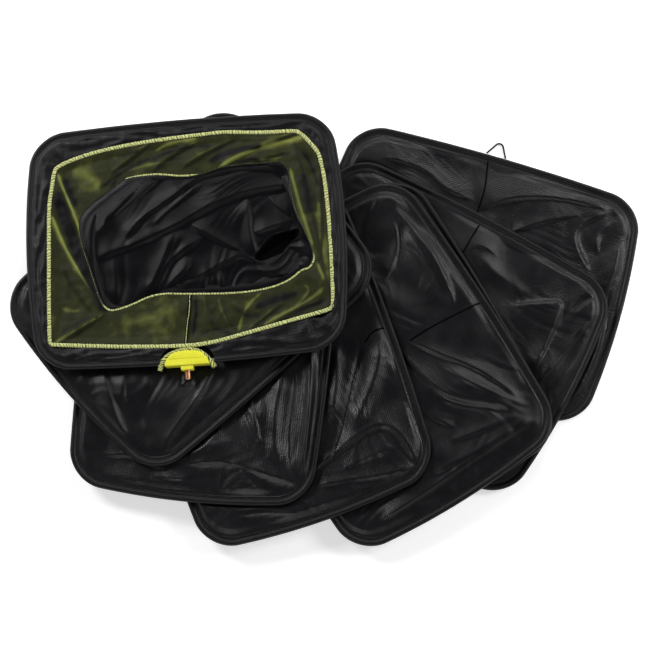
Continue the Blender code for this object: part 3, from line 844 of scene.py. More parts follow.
# The folds that show on each frame's sheet, drawn in the photograph's frame
foldsOf = {
    2: {
        "hub": (185, 300),
        "ridges": [
            ([(102, 366), (110, 395), (120, 425), (130, 445)], 8, 5), ([(80, 366), (95, 405)], 5, 4),
            ([(88, 368), (100, 412)], 4, 3), ([(127, 370), (122, 395), (130, 412)], 5, 4),
            ([(142, 412), (150, 435), (162, 457)], 5, 4), ([(145, 374), (155, 394)], 4, 4),
            ([(215, 368), (195, 405), (175, 430), (163, 452)], 7, 6),
        ],
        "valleys": [
            ([(165, 372), (152, 393), (145, 412)], 2, 6), ([(205, 372), (190, 407)], 2, 6),
        ],
    },
    3: {
        "hub": (275, 330),
        "ridges": [
            ([(98, 455), (140, 455), (168, 472)], 5, 5),
            ([(185, 464), (230, 462), (265, 475), (302, 486)], 7, 6),
            ([(152, 475), (180, 480), (193, 474)], 4, 4), ([(228, 463), (250, 480), (264, 491)], 3, 4),
            ([(243, 412), (250, 430), (259, 442), (255, 420), (250, 397)], 6, 5),
            ([(262, 395), (262, 432)], 4, 4), ([(284, 478), (291, 492)], 3, 3),
        ],
        "rolls": [
            ([(284, 372), (276, 405), (274, 440), (279, 466)], 7, 7),
            ([(311, 350), (310, 400), (306, 440), (303, 478)], 8, 5),
            ([(166, 440), (200, 450), (235, 440)], 4, 9),
        ],
        "valleys": [
            ([(296, 372), (292, 410), (288, 445), (292, 474)], 4, 3),
        ],
    },
    4: {
        "hub": (340, 330),
        "ridges": [
            ([(312, 472), (350, 440), (370, 428), (385, 424),
              (398, 432), (408, 447), (419, 466)], 8, 6), ([(338, 472), (375, 455), (400, 446)], 5, 5),
            ([(310, 488), (330, 483), (380, 476), (422, 467)], 5, 4),
            ([(198, 505), (250, 508), (302, 512)], 3, 4), ([(238, 516), (270, 512), (307, 515)], 3, 4),
        ],
        "rolls": [
            ([(337, 345), (336, 385), (331, 425)], 6, 5),
            ([(381, 340), (377, 375), (364, 405), (352, 432)], 8, 7),
        ],
        "valleys": [
            ([(361, 345), (350, 395), (341, 435), (331, 462)], 5, 4),
        ],
    },
    5: {
        "hub": (412, 342),
        "ridges": [
            ([(386, 186), (377, 200), (375, 217)], 4, 4), ([(389, 188), (398, 200), (391, 207)], 4, 4),
            ([(392, 213), (398, 240), (395, 260), (384, 282)], 6, 5),
            ([(394, 208), (430, 250), (450, 290), (454, 310)], 7, 6),
            ([(408, 340), (440, 355), (480, 370), (522, 401)], 7, 5),
            ([(438, 364), (470, 385), (532, 409)], 6, 4),
            ([(398, 348), (420, 375), (450, 400), (522, 409)], 6, 5), ([(423, 414), (462, 431)], 4, 4),
            ([(436, 450), (452, 459)], 6, 7), ([(428, 479), (460, 460), (500, 440), (537, 411)], 8, 5),
            ([(380, 521), (420, 496), (480, 454), (538, 417)], 7, 4),
            ([(446, 443), (480, 432), (528, 411)], 7, 4),
        ],
        "valleys": [
            ([(383, 306), (405, 318), (427, 326)], 2, 4), ([(388, 319), (417, 331)], 2, 4),
            ([(438, 399), (517, 416)], 3, 6),
        ],
        "rolls": [
            ([(404, 226), (425, 262), (444, 298)], 5, 11), ([(450, 372), (490, 396), (525, 412)], 4, 8),
        ],
    },
    6: {"hub": (412, 342)},
    7: {
        "hub": (470, 240),
        "ridges": [
            ([(468, 252), (480, 245), (497, 256)], 4, 4),
            ([(508, 306), (545, 305), (562, 303), (556, 320), (545, 345), (532, 374)], 8, 6),
            ([(560, 322), (575, 300), (590, 292), (596, 299), (580, 310), (568, 317)], 6, 5),
            ([(592, 317), (570, 345), (555, 365), (538, 382)], 6, 5),
            ([(602, 327), (575, 365), (548, 392)], 4, 4),
        ],
        "rolls": [
            ([(476, 256), (500, 278), (530, 297)], 5, 10),
        ],
    },
    8: {
        "hub": (480, 215),
        "ridges": [
            ([(383, 158), (425, 168), (445, 190), (472, 201)], 6, 6),
            ([(478, 211), (500, 200), (540, 197), (580, 203), (612, 214)], 7, 6),
            ([(508, 233), (545, 222), (590, 215), (612, 212)], 5, 5),
            ([(612, 212), (585, 222), (573, 235), (578, 255), (591, 274)], 7, 5),
            ([(616, 220), (600, 230), (595, 240), (599, 257)], 5, 4),
            ([(621, 238), (612, 280), (599, 302)], 5, 5),
            ([(605, 298), (600, 340), (585, 380), (569, 402)], 5, 5),
        ],
    },
}

# The lime band's inner edge, as it lies in the mouth, and its outer edge, sewn down on the collar
limeInnerPixels = [
    (103, 312), (125, 308), (155, 293), (190, 294), (240, 293), (270, 288), (290, 280), (302, 269),
    (310, 268), (316, 256), (305, 230), (297, 215), (290, 190), (288, 160), (255, 163), (225, 165),
    (190, 177), (155, 173), (125, 178), (118, 185), (80, 213), (78, 235), (90, 270),
]
limeOuterPixels = [
    (50, 343), (49.5, 336), (49, 300), (49, 250), (49, 205), (52, 188), (54, 173), (57, 167), (75, 159),
    (100, 151), (150, 141), (215, 133), (225, 132), (260, 133), (292, 131), (300, 132), (315, 148),
    (320, 156), (325, 180), (330, 230), (333, 290), (333, 303), (332.5, 307), (328, 310), (310, 315),
    (275, 325), (240, 335), (215, 342), (190, 346), (130, 347), (85, 346), (56, 345), (52, 345),
]
limeInner = drawnLoop(1, limeInnerPixels, 3, 720)
limeOuter = drawnLoop(1, limeOuterPixels, 2, 1100, height=0.002)
limeMiddle = limeInner[:, :2].mean(axis=0)


def ringPoints(centre, angles, outerReach, innerReach, across):
    # Points from the outer to the inner edge in each direction, and how far out they lie
    share = np.linspace(0, 1, across + 1)
    reach = outerReach[:, None] + (innerReach - outerReach)[:, None] * share
    return centre + circle(angles)[:, None] * reach[..., None], reach


def netPiece(name, number, xy, heights, finish):
    # A sheet of net on its frame, this high over the frame's plane
    mesh = gridMesh(name, liftedPoints(number, xy, heights), toLocal(number, xy))
    return thicken(addPiece(name, mesh, finish, bodyOf(number)))


def laidLine(name, number, pixels, mesh, finish):
    # A line of stitching laid on a sheet, found by casting down onto it
    width, height, lift = strips.get(name, strips["side_seam"])
    corners = [vert.co for vert in mesh.vertices]
    cloth = BVHTree.FromPolygons(corners, [face.vertices for face in mesh.polygons])
    line = drawnLine(number, pixels, laidPoints)
    hits = [cloth.ray_cast(Vector((spot[0], spot[1], 0.3)), Vector((0, 0, -1)))[:2] for spot in line]
    hits = [hit for hit in hits if hit[0] is not None]
    normals = np.array([normal if normal.z > 0 else -normal for _, normal in hits])
    smoothed = [np.convolve(np.pad(column, 4, mode="edge"), np.ones(9) / 9, "valid") for column in normals.T]
    normals = np.stack(smoothed, axis=1)
    centres = np.array([spot for spot, _ in hits]) + lift * normals
    tube = tubeMesh(name, centres, normals, width, height, sides=8)
    return addPiece(name, tube, finish, bodyOf(number))


sideSeams = {
    4: [(365, 343), (372, 332), (384, 328)], 5: [(487, 301), (480, 303), (455, 315), (430, 328), (410, 341)],
    7: [(479, 226), (470, 240), (461, 257)], 8: [(488, 160), (485, 190), (477, 213)],
}
laidPoints = 90
strips = {  # width, height and lift
    "side_seam": (0.0026, 0.0014, 0.0006), "band_seam_tape": (0.0048, 0.0012, 0.0006),
    "band_seam_thread": (0.0012, 0.0012, 0.0012),
}
wallSizes = {
    "rows": 12, "margin": 0.96, "broad": 0.004, "broadSize": 0.21, "fine": 0.0022, "fineSize": 0.075,
    "pleat": 0.0075, "pleatSize": 0.11, "length": 0.3, "hemLap": 0.006, "hemDrop": 0.0009, "hemStep": 0.0007,
}


def laidWall(panel, middle, angles, hole, upperHole):
    # The wall between two sheets
    upper, lower, values = panel, panel + 1, wallSizes
    direction = circle(angles)
    rim = middle + direction * hole[:, None]
    top = planeHeight(upper, rim) - frameSizes["netOffset"]
    bottom = planeHeight(lower, rim) + frameSizes["netOffset"]
    bisector = (planeHeight(upper, rim) + planeHeight(lower, rim)) / 2
    margin = min((top - bisector).min(), (bisector - bottom).min()) * values["margin"]
    even = np.linspace(0, 1, 400)
    drops = np.interp(np.linspace(0, 1, values["rows"]), smoothStep(even, 0, 1), even)
    stack = [top] + [bisector + margin * (1 - 2 * drop) for drop in drops] + [bottom]
    spots = np.stack([angles, np.full(len(angles), 0.5)], axis=1)
    wave = values["broad"] * softNoise(spots, values["broadSize"], 70 + panel)
    wave += values["fine"] * softNoise(spots, values["fineSize"], 80 + panel)
    if panel > 1:  # pleats that fall inwards
        wave -= values["pleat"] * np.abs(softNoise(spots, values["pleatSize"], 90 + panel))
    points = []
    for index, height in enumerate(stack):
        swell = max(sin(pi * (index - 1) / (len(stack) - 3)), 0.0)
        spot = rim + direction * (wave * swell)[:, None]
        if panel == 1:  # it leans in from the lime edge to the second frame's net
            spot = spot + direction * ((upperHole - hole) * (height - bottom) / (top - bottom))[:, None]
        points.append(np.concatenate([spot, height[:, None]], axis=1))
    if panel == 1:
        spot = middle + direction * (upperHole + values["hemLap"])[:, None]
        points.insert(0, liftedPoints(1, spot, -frameSizes["netOffset"] - values["hemDrop"]))
        points[1][:, 2] -= values["hemStep"]
    steps = distancesAlong(rim)
    steps = np.append(steps, steps[-1] + np.linalg.norm(rim[0] - rim[-1]))
    uv = clothUv(steps, np.linspace(0, values["length"], len(points)))
    name = f"net_{panel}_wall"
    wall = addPiece(name, gridMesh(name, np.stack(points, axis=1), uv, faceUp=False), blackNet)
    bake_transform(wall)
    print("net panel", panel, "margin", round(float(margin) * 1000, 2), "mm")
    return thicken(wall)


def laidPanel(panel):
    # Lays the panel's sheets and wall, and gives back the hole in its sheets
    upper, lower, values = panel, panel + 1, netSheet
    middle = limeMiddle if panel == 1 else (places[upper]["centre"] + places[lower]["centre"])[:2] / 2
    angles = sheetAngles(values["around"])
    if panel == 1:
        upperHole = reachOf(limeInner, middle, angles) - values["limeLap"]
    else:
        upperHole = insetReach(upper, "upperHole", middle, angles)
    hole = smoothAround(np.minimum(upperHole, insetReach(lower, "lowerHole", middle, angles)), 4)
    holeLoop = middle + circle(angles) * hole[:, None]
    # The lower sheet, sewn to the lower frame, with the folds that show
    start = insetReach(lower, "startInset", middle, angles)
    xy, reach = ringPoints(middle, angles, start, hole, values["across"])
    heights = foldHeights(lower, xy, start[:, None] - reach, reach - hole[:, None], range(upper, 0, -1))
    name = f"net_{panel}_lower_sheet"
    lowerSheet = netPiece(name, lower, xy, heights + frameSizes["netOffset"], blackNet)
    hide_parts(f"net_panel_{panel}")
    flat = stripSize(liftedPoints(lower, xy, 0.0))
    # The upper sheet, sewn under the upper frame
    angles, hole, upperHole = angles[::2], hole[::2], upperHole[::2]
    if panel > 1:
        start = insetReach(upper, "startInset", middle, angles)
        xy, reach = ringPoints(middle, angles, start, hole, values["upperAcross"])
        sag = values["sag"] * softNoise(xy, values["sagSize"], 50 + panel)
        sag *= smoothStep(reach - hole[:, None], 0.0, values["holeEase"])
        sag *= smoothStep(start[:, None] - reach, 0.0, values["sagEase"])
        heights = -frameSizes["netOffset"] - np.abs(sag) * 0.5
        upperSheet = netPiece(f"net_{panel}_upper_sheet", upper, xy, heights, blackNet)
        flatUpper = stripSize(liftedPoints(upper, xy, heights))
    wall = laidWall(panel, middle, angles, hole, upperHole)
    # Side seams in the darkened thread: black seam with painted shade of its groove
    if lower in sideSeams:
        seam = f"net_{panel}_side_seam"
        laidLine(seam, lower, sideSeams[lower], lowerSheet.data, shadedBlackThread)
    return holeLoop


holeLoops = {}
for panel in range(1, 8):
    holeLoops[panel] = laidPanel(panel)

baseNet = {"around": 240, "across": 30, "sag": 0.0004, "sagSize": 0.05}

angles = sheetAngles(baseNet["around"])
baseMiddle = places[8]["centre"][:2]
start = insetReach(8, "startInset", baseMiddle, angles)
xy, reach = ringPoints(baseMiddle, angles, start, np.zeros(baseNet["around"]), baseNet["across"])
sag = baseNet["sag"] * softNoise(xy, baseNet["sagSize"], 90)
basePanel = netPiece("base_net", 8, xy, sag - frameSizes["netOffset"], blackNet)
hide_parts("base_panel")
print("base panel laid")

# The folds inside the mouth, on the second frame, with the deep slit among them
mouthFolds = {
    "ridges": [
        ([(222, 160), (195, 182), (170, 200), (145, 217), (133, 230), (122, 247)], 11, 5),
        ([(208, 180), (180, 203), (160, 220), (143, 240)], 9, 3),
        ([(296, 184), (262, 189), (240, 194), (220, 202), (200, 212),
          (180, 224), (160, 234), (138, 246)], 12, 7),
        ([(178, 228), (168, 250), (158, 275), (144, 302)], 9, 6),
        ([(184, 226), (172, 256), (160, 283), (150, 302)], 7, 3),
        ([(93, 263), (115, 251), (135, 246), (176, 226)], 8, 5),
        ([(118, 178), (104, 195), (96, 215), (91, 245), (95, 275), (106, 310)], 8, 5),
        ([(113, 254), (117, 280), (118, 308)], 6, 5),
        ([(150, 178), (130, 198), (112, 216), (100, 228)], 6, 4),
        ([(188, 222), (210, 236), (230, 247), (249, 257)], 9, 6),
        ([(206, 236), (185, 250), (170, 262), (160, 280)], 8, 4),
        ([(246, 196), (248, 215), (250, 235), (254, 250), (260, 260)], 9, 5),
        ([(249, 235), (268, 229), (286, 223), (298, 221)], 10, 6),
        ([(268, 194), (278, 208), (296, 222)], 8, 5),
        ([(192, 282), (208, 272), (225, 262), (240, 256), (258, 262)], 8, 5),
        ([(165, 290), (182, 274), (196, 256)], 7, 4), ([(204, 297), (204, 280), (210, 266)], 6, 3),
        ([(224, 296), (221, 278), (216, 264)], 6, 3),
        ([(256, 264), (264, 272), (280, 276), (296, 274), (312, 264)], 8, 5),
        ([(298, 196), (294, 210), (297, 222)], 6, 4), ([(200, 252), (208, 262), (202, 272)], 6, 3),
    ],
    "valleys": [
        ([(165, 285), (178, 262), (190, 252)], 3, 8),
        ([(256, 257), (270, 247), (282, 239), (294, 233)], 4, 6),
    ],
}
cavityPixels = [
    (254, 258), (261, 251), (270, 243), (281, 236), (293, 231), (299, 231), (296, 239), (286, 244),
    (277, 251), (268, 258), (259, 261),
]
mouthNet = {
    "around": 470, "across": 96, "tuck": 0.62, "broad": 0.0022, "broadSize": 0.05, "fine": 0.0008,
    "fineAcross": 0.022, "fineAlong": 0.15, "hub": (300, 160), "rimGap": 0.0034, "wallGap": 0.004,
    "slitShare": 0.8, "slitDepth": 0.016, "slitEdge": 0.011, "lift": 0.0015, "headroom": 0.001,
    "rimRise": 0.0016, "rimStart": (0.004, 0.012), "hang": 0.01, "hangSwing": 0.005, "hangSize": 0.25,
}


def mouthHeights(angles, xy, reach, outerReach, wallReach, cavityReach):
    # Folds that climb to the lime edge, over the panel's wall, and sink into the slit
    values = mouthNet
    fall = outerReach[:, None] - reach
    room = planeHeight(1, xy) - planeHeight(2, xy) - 2 * frameSizes["netOffset"]
    full = room - values["headroom"]
    heights = foldField(xy, mouthFolds, 2, values["tuck"])
    heights += values["broad"] * softNoise(xy, values["broadSize"], 95)
    heights += longCreases(xy, (2, values["hub"]), 96, values)
    spots = np.stack([angles, np.full(len(angles), 0.4)], axis=1)
    hang = values["hang"] + values["hangSwing"] * softNoise(spots, values["hangSize"], 97)[:, None]
    wallShare = np.clip(1 - fall / (outerReach - wallReach)[:, None], 0, 1)
    heights = np.maximum(heights + values["lift"], full * np.exp(-fall / hang))
    heights = np.maximum(heights, full * wallShare + values["headroom"])
    slit = smoothStep(cavityReach[:, None] + values["slitEdge"] - reach, 0.0, values["slitEdge"])
    heights -= values["slitDepth"] * slit
    return np.minimum(heights, full + values["rimRise"] * smoothStep(fall, *values["rimStart"]))


angles = sheetAngles(mouthNet["around"])
cavity = drawnLoop(2, cavityPixels, 3, 240)
cavityMiddle = cavity[:, :2].mean(axis=0)
outerReach = reachOf(limeInner, cavityMiddle, angles) - mouthNet["rimGap"]
wallReach = np.minimum(reachOf(holeLoops[1], cavityMiddle, angles), outerReach - mouthNet["wallGap"])
cavityReach = reachOf(cavity, cavityMiddle, angles) * mouthNet["slitShare"]
xy, reach = ringPoints(cavityMiddle, angles, outerReach, cavityReach, mouthNet["across"])
heights = mouthHeights(angles, xy, reach, outerReach, wallReach, cavityReach)
# The mouth's folds take the darker net, painted shade of the mouth's depth
mouthSheet = netPiece("mouth_net_folds", 2, xy, frameSizes["netOffset"] + heights, shadedMouthNet)
stripSize(liftedPoints(2, xy, 0.0))
print("mouth folds laid")

# Mouth collar with its half-moon cut-out

blockSizes = {
    "length": 0.068, "depth": 0.021, "thickness": 0.018, "edge": 0.0024, "flatFromWire": 0.007,
    "bossWidth": 0.019, "bossThickness": 0.014, "bossHeight": 0.007, "bossRoot": 0.003, "bossEdge": 0.0014,
    "padInset": 0.006, "padDrop": 0.009, "padStart": 0.0035, "padRise": 0.0004, "padEdge": 0.0006,
    "boreRadius": 0.0028, "boreLength": 0.08, "placeX": -0.005, "roundShare": 0.85,
}
cutOut = {"length": 0.084, "depth": 0.032, "start": -0.0044, "past": 0.012, "widest": -0.008, "lap": 0.004}


def halfRound(half, depth, base, count):
    angles = np.linspace(0, pi, count)
    across = np.sign(np.cos(angles)) * half * np.abs(np.cos(angles)) ** blockSizes["roundShare"]
    return np.stack([across, base + depth * np.sin(angles) ** blockSizes["roundShare"]], axis=1)


def plateShape(outline, half):
    # A plate this far to both sides of the block's middle plane
    shape = bmesh.new()
    face = shape.faces.new([shape.verts.new((x, y, -half)) for x, y in outline])
    raised = bmesh.ops.extrude_face_region(shape, geom=[face])
    verts = [item for item in raised["geom"] if isinstance(item, bmesh.types.BMVert)]
    bmesh.ops.translate(shape, vec=(0.0, 0.0, 2 * half), verts=verts)
    bmesh.ops.recalc_face_normals(shape, faces=shape.faces)
    return shape


def roundEdges(shape, width, segments, steeper=0.0):
    # Rounds the edges that are bent by more than this angle
    edges = [edge for edge in shape.edges if edge.calc_face_angle(0.0) > steeper]
    bmesh.ops.bevel(shape, geom=edges, offset=width, segments=segments, profile=0.5, affect="EDGES",
                    material=-1, clamp_overlap=True)
    return shape


blockOrigin = onFrame(1, np.array((blockSizes["placeX"], -wireLine)))


def blockMatrix():
    turn = Matrix([[places[1][axis][row] for axis in ("along", "across", "normal")] for row in range(3)])
    return Matrix.Translation(blockOrigin) @ turn.to_4x4()


def booleanResult(name, mesh, cutterMesh, operation):
    piece, cutter = bpy.data.objects.new(name, mesh), bpy.data.objects.new("cutter", cutterMesh)
    for item in (piece, cutter):
        scene.collection.objects.link(item)
    boolean = piece.modifiers.new("cut", "BOOLEAN")
    boolean.operation = operation
    boolean.object = cutter
    boolean.solver = "EXACT"
    evaluated = piece.evaluated_get(bpy.context.evaluated_depsgraph_get())
    result = bpy.data.meshes.new_from_object(evaluated)
    for item in (piece, cutter):
        bpy.data.objects.remove(item, do_unlink=True)
    result.name = name
    return result


# The collar reaches as far in as the lime band's outer edge
collarLoop = frameOutline(sleeve["points"])[0]
collarReach = np.linalg.norm(collarLoop[:, None] - toLocal(1, limeOuter[:, :2])[None], axis=-1).min(axis=1)
collarExtra = smoothAround(collarReach, 3) + cutOut["lap"] - frameSizes["collarWidth"]
collarMesh = sleeveMesh("collar", 1, frameSizes["collarWidth"], np.maximum(collarExtra, cutOut["widest"]))
cutHalf, past = cutOut["length"] / 2, cutOut["past"]
cutOutline = [*halfRound(cutHalf, cutOut["depth"], cutOut["start"], 49), (-cutHalf, -past), (cutHalf, -past)]
cutShape = plateShape(cutOutline, past)
cutShape.transform(blockMatrix())
collarMesh = booleanResult("collar", collarMesh, meshFrom(cutShape, "cut"), "DIFFERENCE")
collar = addPiece("collar", collarMesh, blackCloth, "mouth_frame")
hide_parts("mouth_collar")
stitches = stitchMesh("collar_stitches", 1, stitch["collarInset"], stitch["collarHeight"],
                      lambda spot: np.linalg.norm(spot - blockOrigin) < stitch["clear"])
addPiece("collar_stitches", stitches, stitchThread, "mouth_frame")
print("collar sewn")

# Lime band and its seams

limeBand = {
    "around": 480, "across": 40, "onCollar": 0.0042, "floor": -0.0012, "broad": 0.0012, "broadSize": 0.045,
    "crumple": 0.0009, "crumpleSize": 0.022, "innerShare": 0.45, "outerEase": (0.004, 0.014),
    "innerEase": 0.012, "collarEase": (0.004, 0.018),
}
# Painted light on the lime band: a painted highlight along each fold's crest, and painted shade beside it,
# shifted down and to the right by under; clouds are random mottling
limeShade = {
    "under": (1.6, 2.2), "underShadeLook": (0.7, 2.4), "crestHighlightLook": (0.34, 1.4), "ends": 0.008, "shift": -0.08,
    "clouds": ((0.18, 0.045, 103), (0.16, 0.016, 104), (0.08, 0.007, 105)),
}
limeFolds = {
    "ridges": [
        ([(52, 165), (66, 195), (76, 218), (83, 240)], 6, 3),
        ([(218, 168), (250, 150), (280, 138), (300, 130)], 7, 3),
        ([(232, 172), (262, 158), (290, 150)], 4, 3), ([(50, 350), (70, 335), (105, 312)], 4, 3),
        ([(186, 348), (190, 290)], 2, 1.5), ([(212, 334), (208, 316), (204, 297)], 3, 3),
        ([(236, 332), (226, 315), (219, 296)], 3, 3), ([(245, 332), (262, 318), (285, 300)], 4, 3),
        ([(265, 328), (290, 312), (318, 300)], 4, 3),
        ([(292, 140), (304, 180), (314, 230), (330, 300)], 5, 3),
        ([(318, 170), (322, 220), (318, 262)], 3, 3), ([(60, 260), (75, 290), (98, 320)], 3, 4),
        ([(110, 172), (130, 158), (150, 142)], 4, 3), ([(150, 172), (170, 155), (200, 140)], 4, 3),
        ([(180, 168), (205, 152), (235, 138)], 4, 3),
    ],
    "valleys": [
        ([(60, 200), (72, 232), (75, 258)], 2, 4),
    ],
    # Lighter: the lime hem strip and doubled net, with painted highlights along folds
    "light": [
        ([(57, 173), (64, 190), (72, 208), (80, 230), (83, 243)], 1.7, 2.0),
        ([(80, 240), (80, 254)], 1.0, 1.6),
        ([(220, 166), (250, 152), (275, 143), (304, 137)], 1.5, 3.0),
        ([(255, 161), (268, 159), (284, 156)], 0.8, 2.0), ([(72, 170), (92, 178), (100, 188)], 0.5, 11),
        ([(155, 151), (170, 143), (198, 139)], 0.7, 2.2),
        ([(128, 170), (145, 165), (170, 162)], 0.5, 3.0),
        ([(52, 216), (61, 240), (74, 264), (89, 287), (102, 309)], 1.2, 2.2),
        ([(62, 308), (72, 312), (81, 310)], 0.5, 2.6), ([(54, 344), (80, 328), (104, 314)], 0.7, 1.3),
        ([(290, 168), (296, 192), (303, 215), (313, 246)], 0.9, 2.2),
        ([(318, 200), (322, 240), (327, 285)], 0.6, 6),
        ([(204, 299), (207, 312), (212, 322)], 0.5, 1.6),
        ([(218, 297), (222, 312), (231, 326)], 0.5, 1.6),
        ([(262, 292), (247, 305), (241, 320), (238, 333)], 0.6, 2.0),
        ([(302, 284), (310, 288), (304, 298), (294, 309)], 0.4, 2.0),
        ([(262, 326), (285, 313), (305, 303), (324, 288)], 0.7, 2.0),
        ([(317, 262), (325, 282)], 0.9, 2.0), ([(120, 325), (150, 318), (175, 310)], 0.35, 16),
    ],
    # Darker: black net showing through the band, with painted shade in and under its folds
    "darkNetAndShade": [
        ([(58, 194), (67, 222), (76, 248), (84, 267), (94, 289), (105, 310)], 5.0, 3.6),
        ([(64, 178), (69, 192), (76, 208)], 1.8, 4.5),
        ([(100, 188), (118, 175), (135, 164), (152, 158)], 1.0, 1.8),
        ([(120, 158), (140, 151)], 0.8, 3), ([(150, 161), (168, 152), (190, 147), (212, 146)], 1.1, 3),
        ([(110, 188), (118, 178)], 1.0, 2), ([(208, 162), (228, 152), (262, 147)], 2.0, 3.0),
        ([(236, 164), (252, 158), (262, 163)], 1.4, 2.5),
        ([(302, 172), (306, 190), (311, 215)], 1.5, 5.5),
        ([(300, 150), (310, 160), (319, 188)], 1.0, 2.5), ([(322, 170), (326, 195)], 0.8, 3),
        ([(196, 297), (196, 315), (193, 335)], 1.3, 2.6),
        ([(200, 336), (215, 327), (234, 336)], 0.9, 2.4),
        ([(255, 308), (275, 300), (298, 293)], 1.4, 5), ([(232, 306), (246, 316), (262, 316)], 0.9, 4),
        ([(280, 322), (305, 309), (327, 299)], 1.0, 3.5), ([(210, 316), (214, 326)], 0.8, 4),
        ([(60, 334), (80, 322), (98, 314)], 0.7, 2.4), ([(62, 262), (70, 282), (68, 300)], 0.5, 5),
    ],
}


def limeHeights(xy, outerGap, innerGap):
    values = limeBand
    heights = foldField(xy, limeFolds, 1) + values["broad"] * softNoise(xy, values["broadSize"], 101)
    heights += values["crumple"] * crestedNoise(xy, values["crumpleSize"], 102, 2)
    heights = np.maximum(heights, values["floor"]) * smoothStep(outerGap, *values["outerEase"])
    inner = smoothStep(innerGap, 0.0, values["innerEase"])
    heights *= values["innerShare"] + (1 - values["innerShare"]) * inner
    return heights + values["onCollar"] * (1 - smoothStep(outerGap, *values["collarEase"]))


def shadeOf(mesh):
    # Light where the net lies doubled and painted highlights along its crests; dark where black net shows
    # through and painted shade beside the crests
    spots = np.array([vert.co[:2] for vert in mesh.vertices])
    (overX, overY), ends = limeShade["under"], limeShade["ends"]
    ridges = [pixels for pixels, height, width in limeFolds["ridges"]]
    crests = [(pixels, *limeShade["crestHighlightLook"]) for pixels in ridges]
    under = [([(x + overX, y + overY) for x, y in pixels], *limeShade["underShadeLook"]) for pixels in ridges]
    shade = 1000 * (creaseField(spots, limeFolds["light"] + crests, 1, 1.0, ends)
                    - creaseField(spots, limeFolds["darkNetAndShade"] + under, 1, 1.0, ends))
    for share, size, seed in limeShade["clouds"]:
        shade += share * softNoise(spots, size, seed)
    return np.clip(shade + limeShade["shift"], -1, 1).astype(np.float32)


angles = sheetAngles(limeBand["around"])
outerReach = reachOf(limeOuter, limeMiddle, angles)
innerReach = reachOf(limeInner, limeMiddle, angles)
xy, reach = ringPoints(limeMiddle, angles, outerReach, innerReach, limeBand["across"])
heights = limeHeights(xy, outerReach[:, None] - reach, reach - innerReach[:, None])
limePiece = netPiece("lime_net_band", 1, xy, heights - frameSizes["netOffset"], limeNet)
# The shade attribute carries the painted highlights and painted shade, with doubled and black net, into the
# lime's colour
shade = limePiece.data.attributes.new("shade", "FLOAT", "POINT")
shade.data.foreach_set("value", shadeOf(limePiece.data))
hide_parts("lime_band")

overlock = {
    # width, height and lift
    "outer_overlock": (0.0062, 0.0028, 0.001), "outer_overlock_hem_and_shade": (0.0092, 0.002, 0.0002),
    "inner_overlock": (0.003, 0.0022, 0.0), "cutout_overlock": (0.0078, 0.0046, 0.0008),
    "uneven": ((0.12, 0.004, 110), (0.1, 0.013, 111)), "turn": 0.07, "turnPitch": 0.0056, "step": 0.0015,
    "hemShare": 0.5, "hemClear": (0.042, 0.06), "blockBack": 0.02, "innerPoints": 700,
    "hiddenShare": 0.14, "shownReach": (0.006, 0.016), "bindingPoints": 220,
}


def seamPiece(name, loop, finish, node=None, closed=True, shares=1.0, raised=0.0):
    # An overlocked seam of uneven width along the loop, on the mouth frame
    width, height, lift = overlock[name]
    normals = np.tile(places[1]["normal"], (len(loop), 1))
    steps = np.arange(len(loop)) * overlock["step"]
    spots = np.stack([steps, np.full(len(loop), 0.3)], axis=1)
    widths = 1.0
    for share, size, seed in overlock["uneven"]:
        widths = widths + share * softNoise(spots, size, seed)
    widths = width * widths * (1 + overlock["turn"] * np.sin(steps * 2 * pi / overlock["turnPitch"]))
    centres = loop + np.reshape(raised + lift, (-1, 1)) * normals
    mesh = tubeMesh(name, centres, normals, widths * shares, height * shares, closed=closed)
    piece = addPiece(name, mesh, finish, "mouth_frame")
    if node:
        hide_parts(node)
    return piece


outerSeam = seamPiece("outer_overlock", limeOuter, limeSeam, "lime_seam_outer")
blockBack = (blockSizes["placeX"], -wireLine + overlock["blockBack"])
fromBlock = np.abs(toLocal(1, limeOuter[:, :2]) - blockBack).max(axis=1)
hemShares = overlock["hemShare"] + (1 - overlock["hemShare"]) * smoothStep(fromBlock, *overlock["hemClear"])
# The black hem under the outer seam, darkened past the cloth as a painted shade outline
hemStrip = seamPiece("outer_overlock_hem_and_shade", limeOuter, shadedBlackThread, shares=hemShares)

# The inner seam shows below and at the top left, and is folded under elsewhere
seamShownPixels = (
    [(108, 311), (125, 308), (155, 293), (190, 294), (240, 293), (270, 288), (290, 280), (302, 269),
     (310, 268), (316, 262)],
    [(118, 181), (125, 178), (155, 173), (188, 176)],
)
innerLoop = resampled(limeInner, overlock["innerPoints"])
innerHeights = limeHeights(innerLoop[:, :2], 0.05, 0.0) - frameSizes["netOffset"]
seamShown = np.zeros(overlock["innerPoints"])
for pixels in seamShownPixels:
    line = resampled(pixelToFrame(1, pixels)[:, :2], 80, closed=False)
    gap = np.linalg.norm(innerLoop[:, None, :2] - line[None], axis=-1).min(axis=1)
    seamShown = np.maximum(seamShown, 1 - smoothStep(gap, *overlock["shownReach"]))
innerShares = overlock["hiddenShare"] + (1 - overlock["hiddenShare"]) * smoothAround(seamShown, 4)
innerSeam = seamPiece("inner_overlock", innerLoop, limeSeam, "lime_seam_inner", shares=innerShares,
                      raised=innerHeights)

# The seam across the band: a dark tape with a lime thread on it
bandSeam = [(186, 343), (187, 330), (189, 310), (190, 295)]
bandTape = laidLine("band_seam_tape", 1, bandSeam, limePiece.data, shadedBlackThread)
bandThread = laidLine("band_seam_thread", 1, bandSeam, limePiece.data, limeSeam)
stripSize(liftedPoints(1, xy, 0.0))
print("lime band sewn")

# Binding round the cut-out

bindingPixels = [
    (160, 371), (162, 362), (169, 355), (179, 351), (190, 349), (200, 351.5), (208, 358), (215, 367),
]
bindingLine = drawnLine(1, bindingPixels, overlock["bindingPoints"], height=0.001)
seamPiece("cutout_overlock", bindingLine, limeBinding, "cutout_binding", closed=False)
print("binding sewn")

# Block and stud

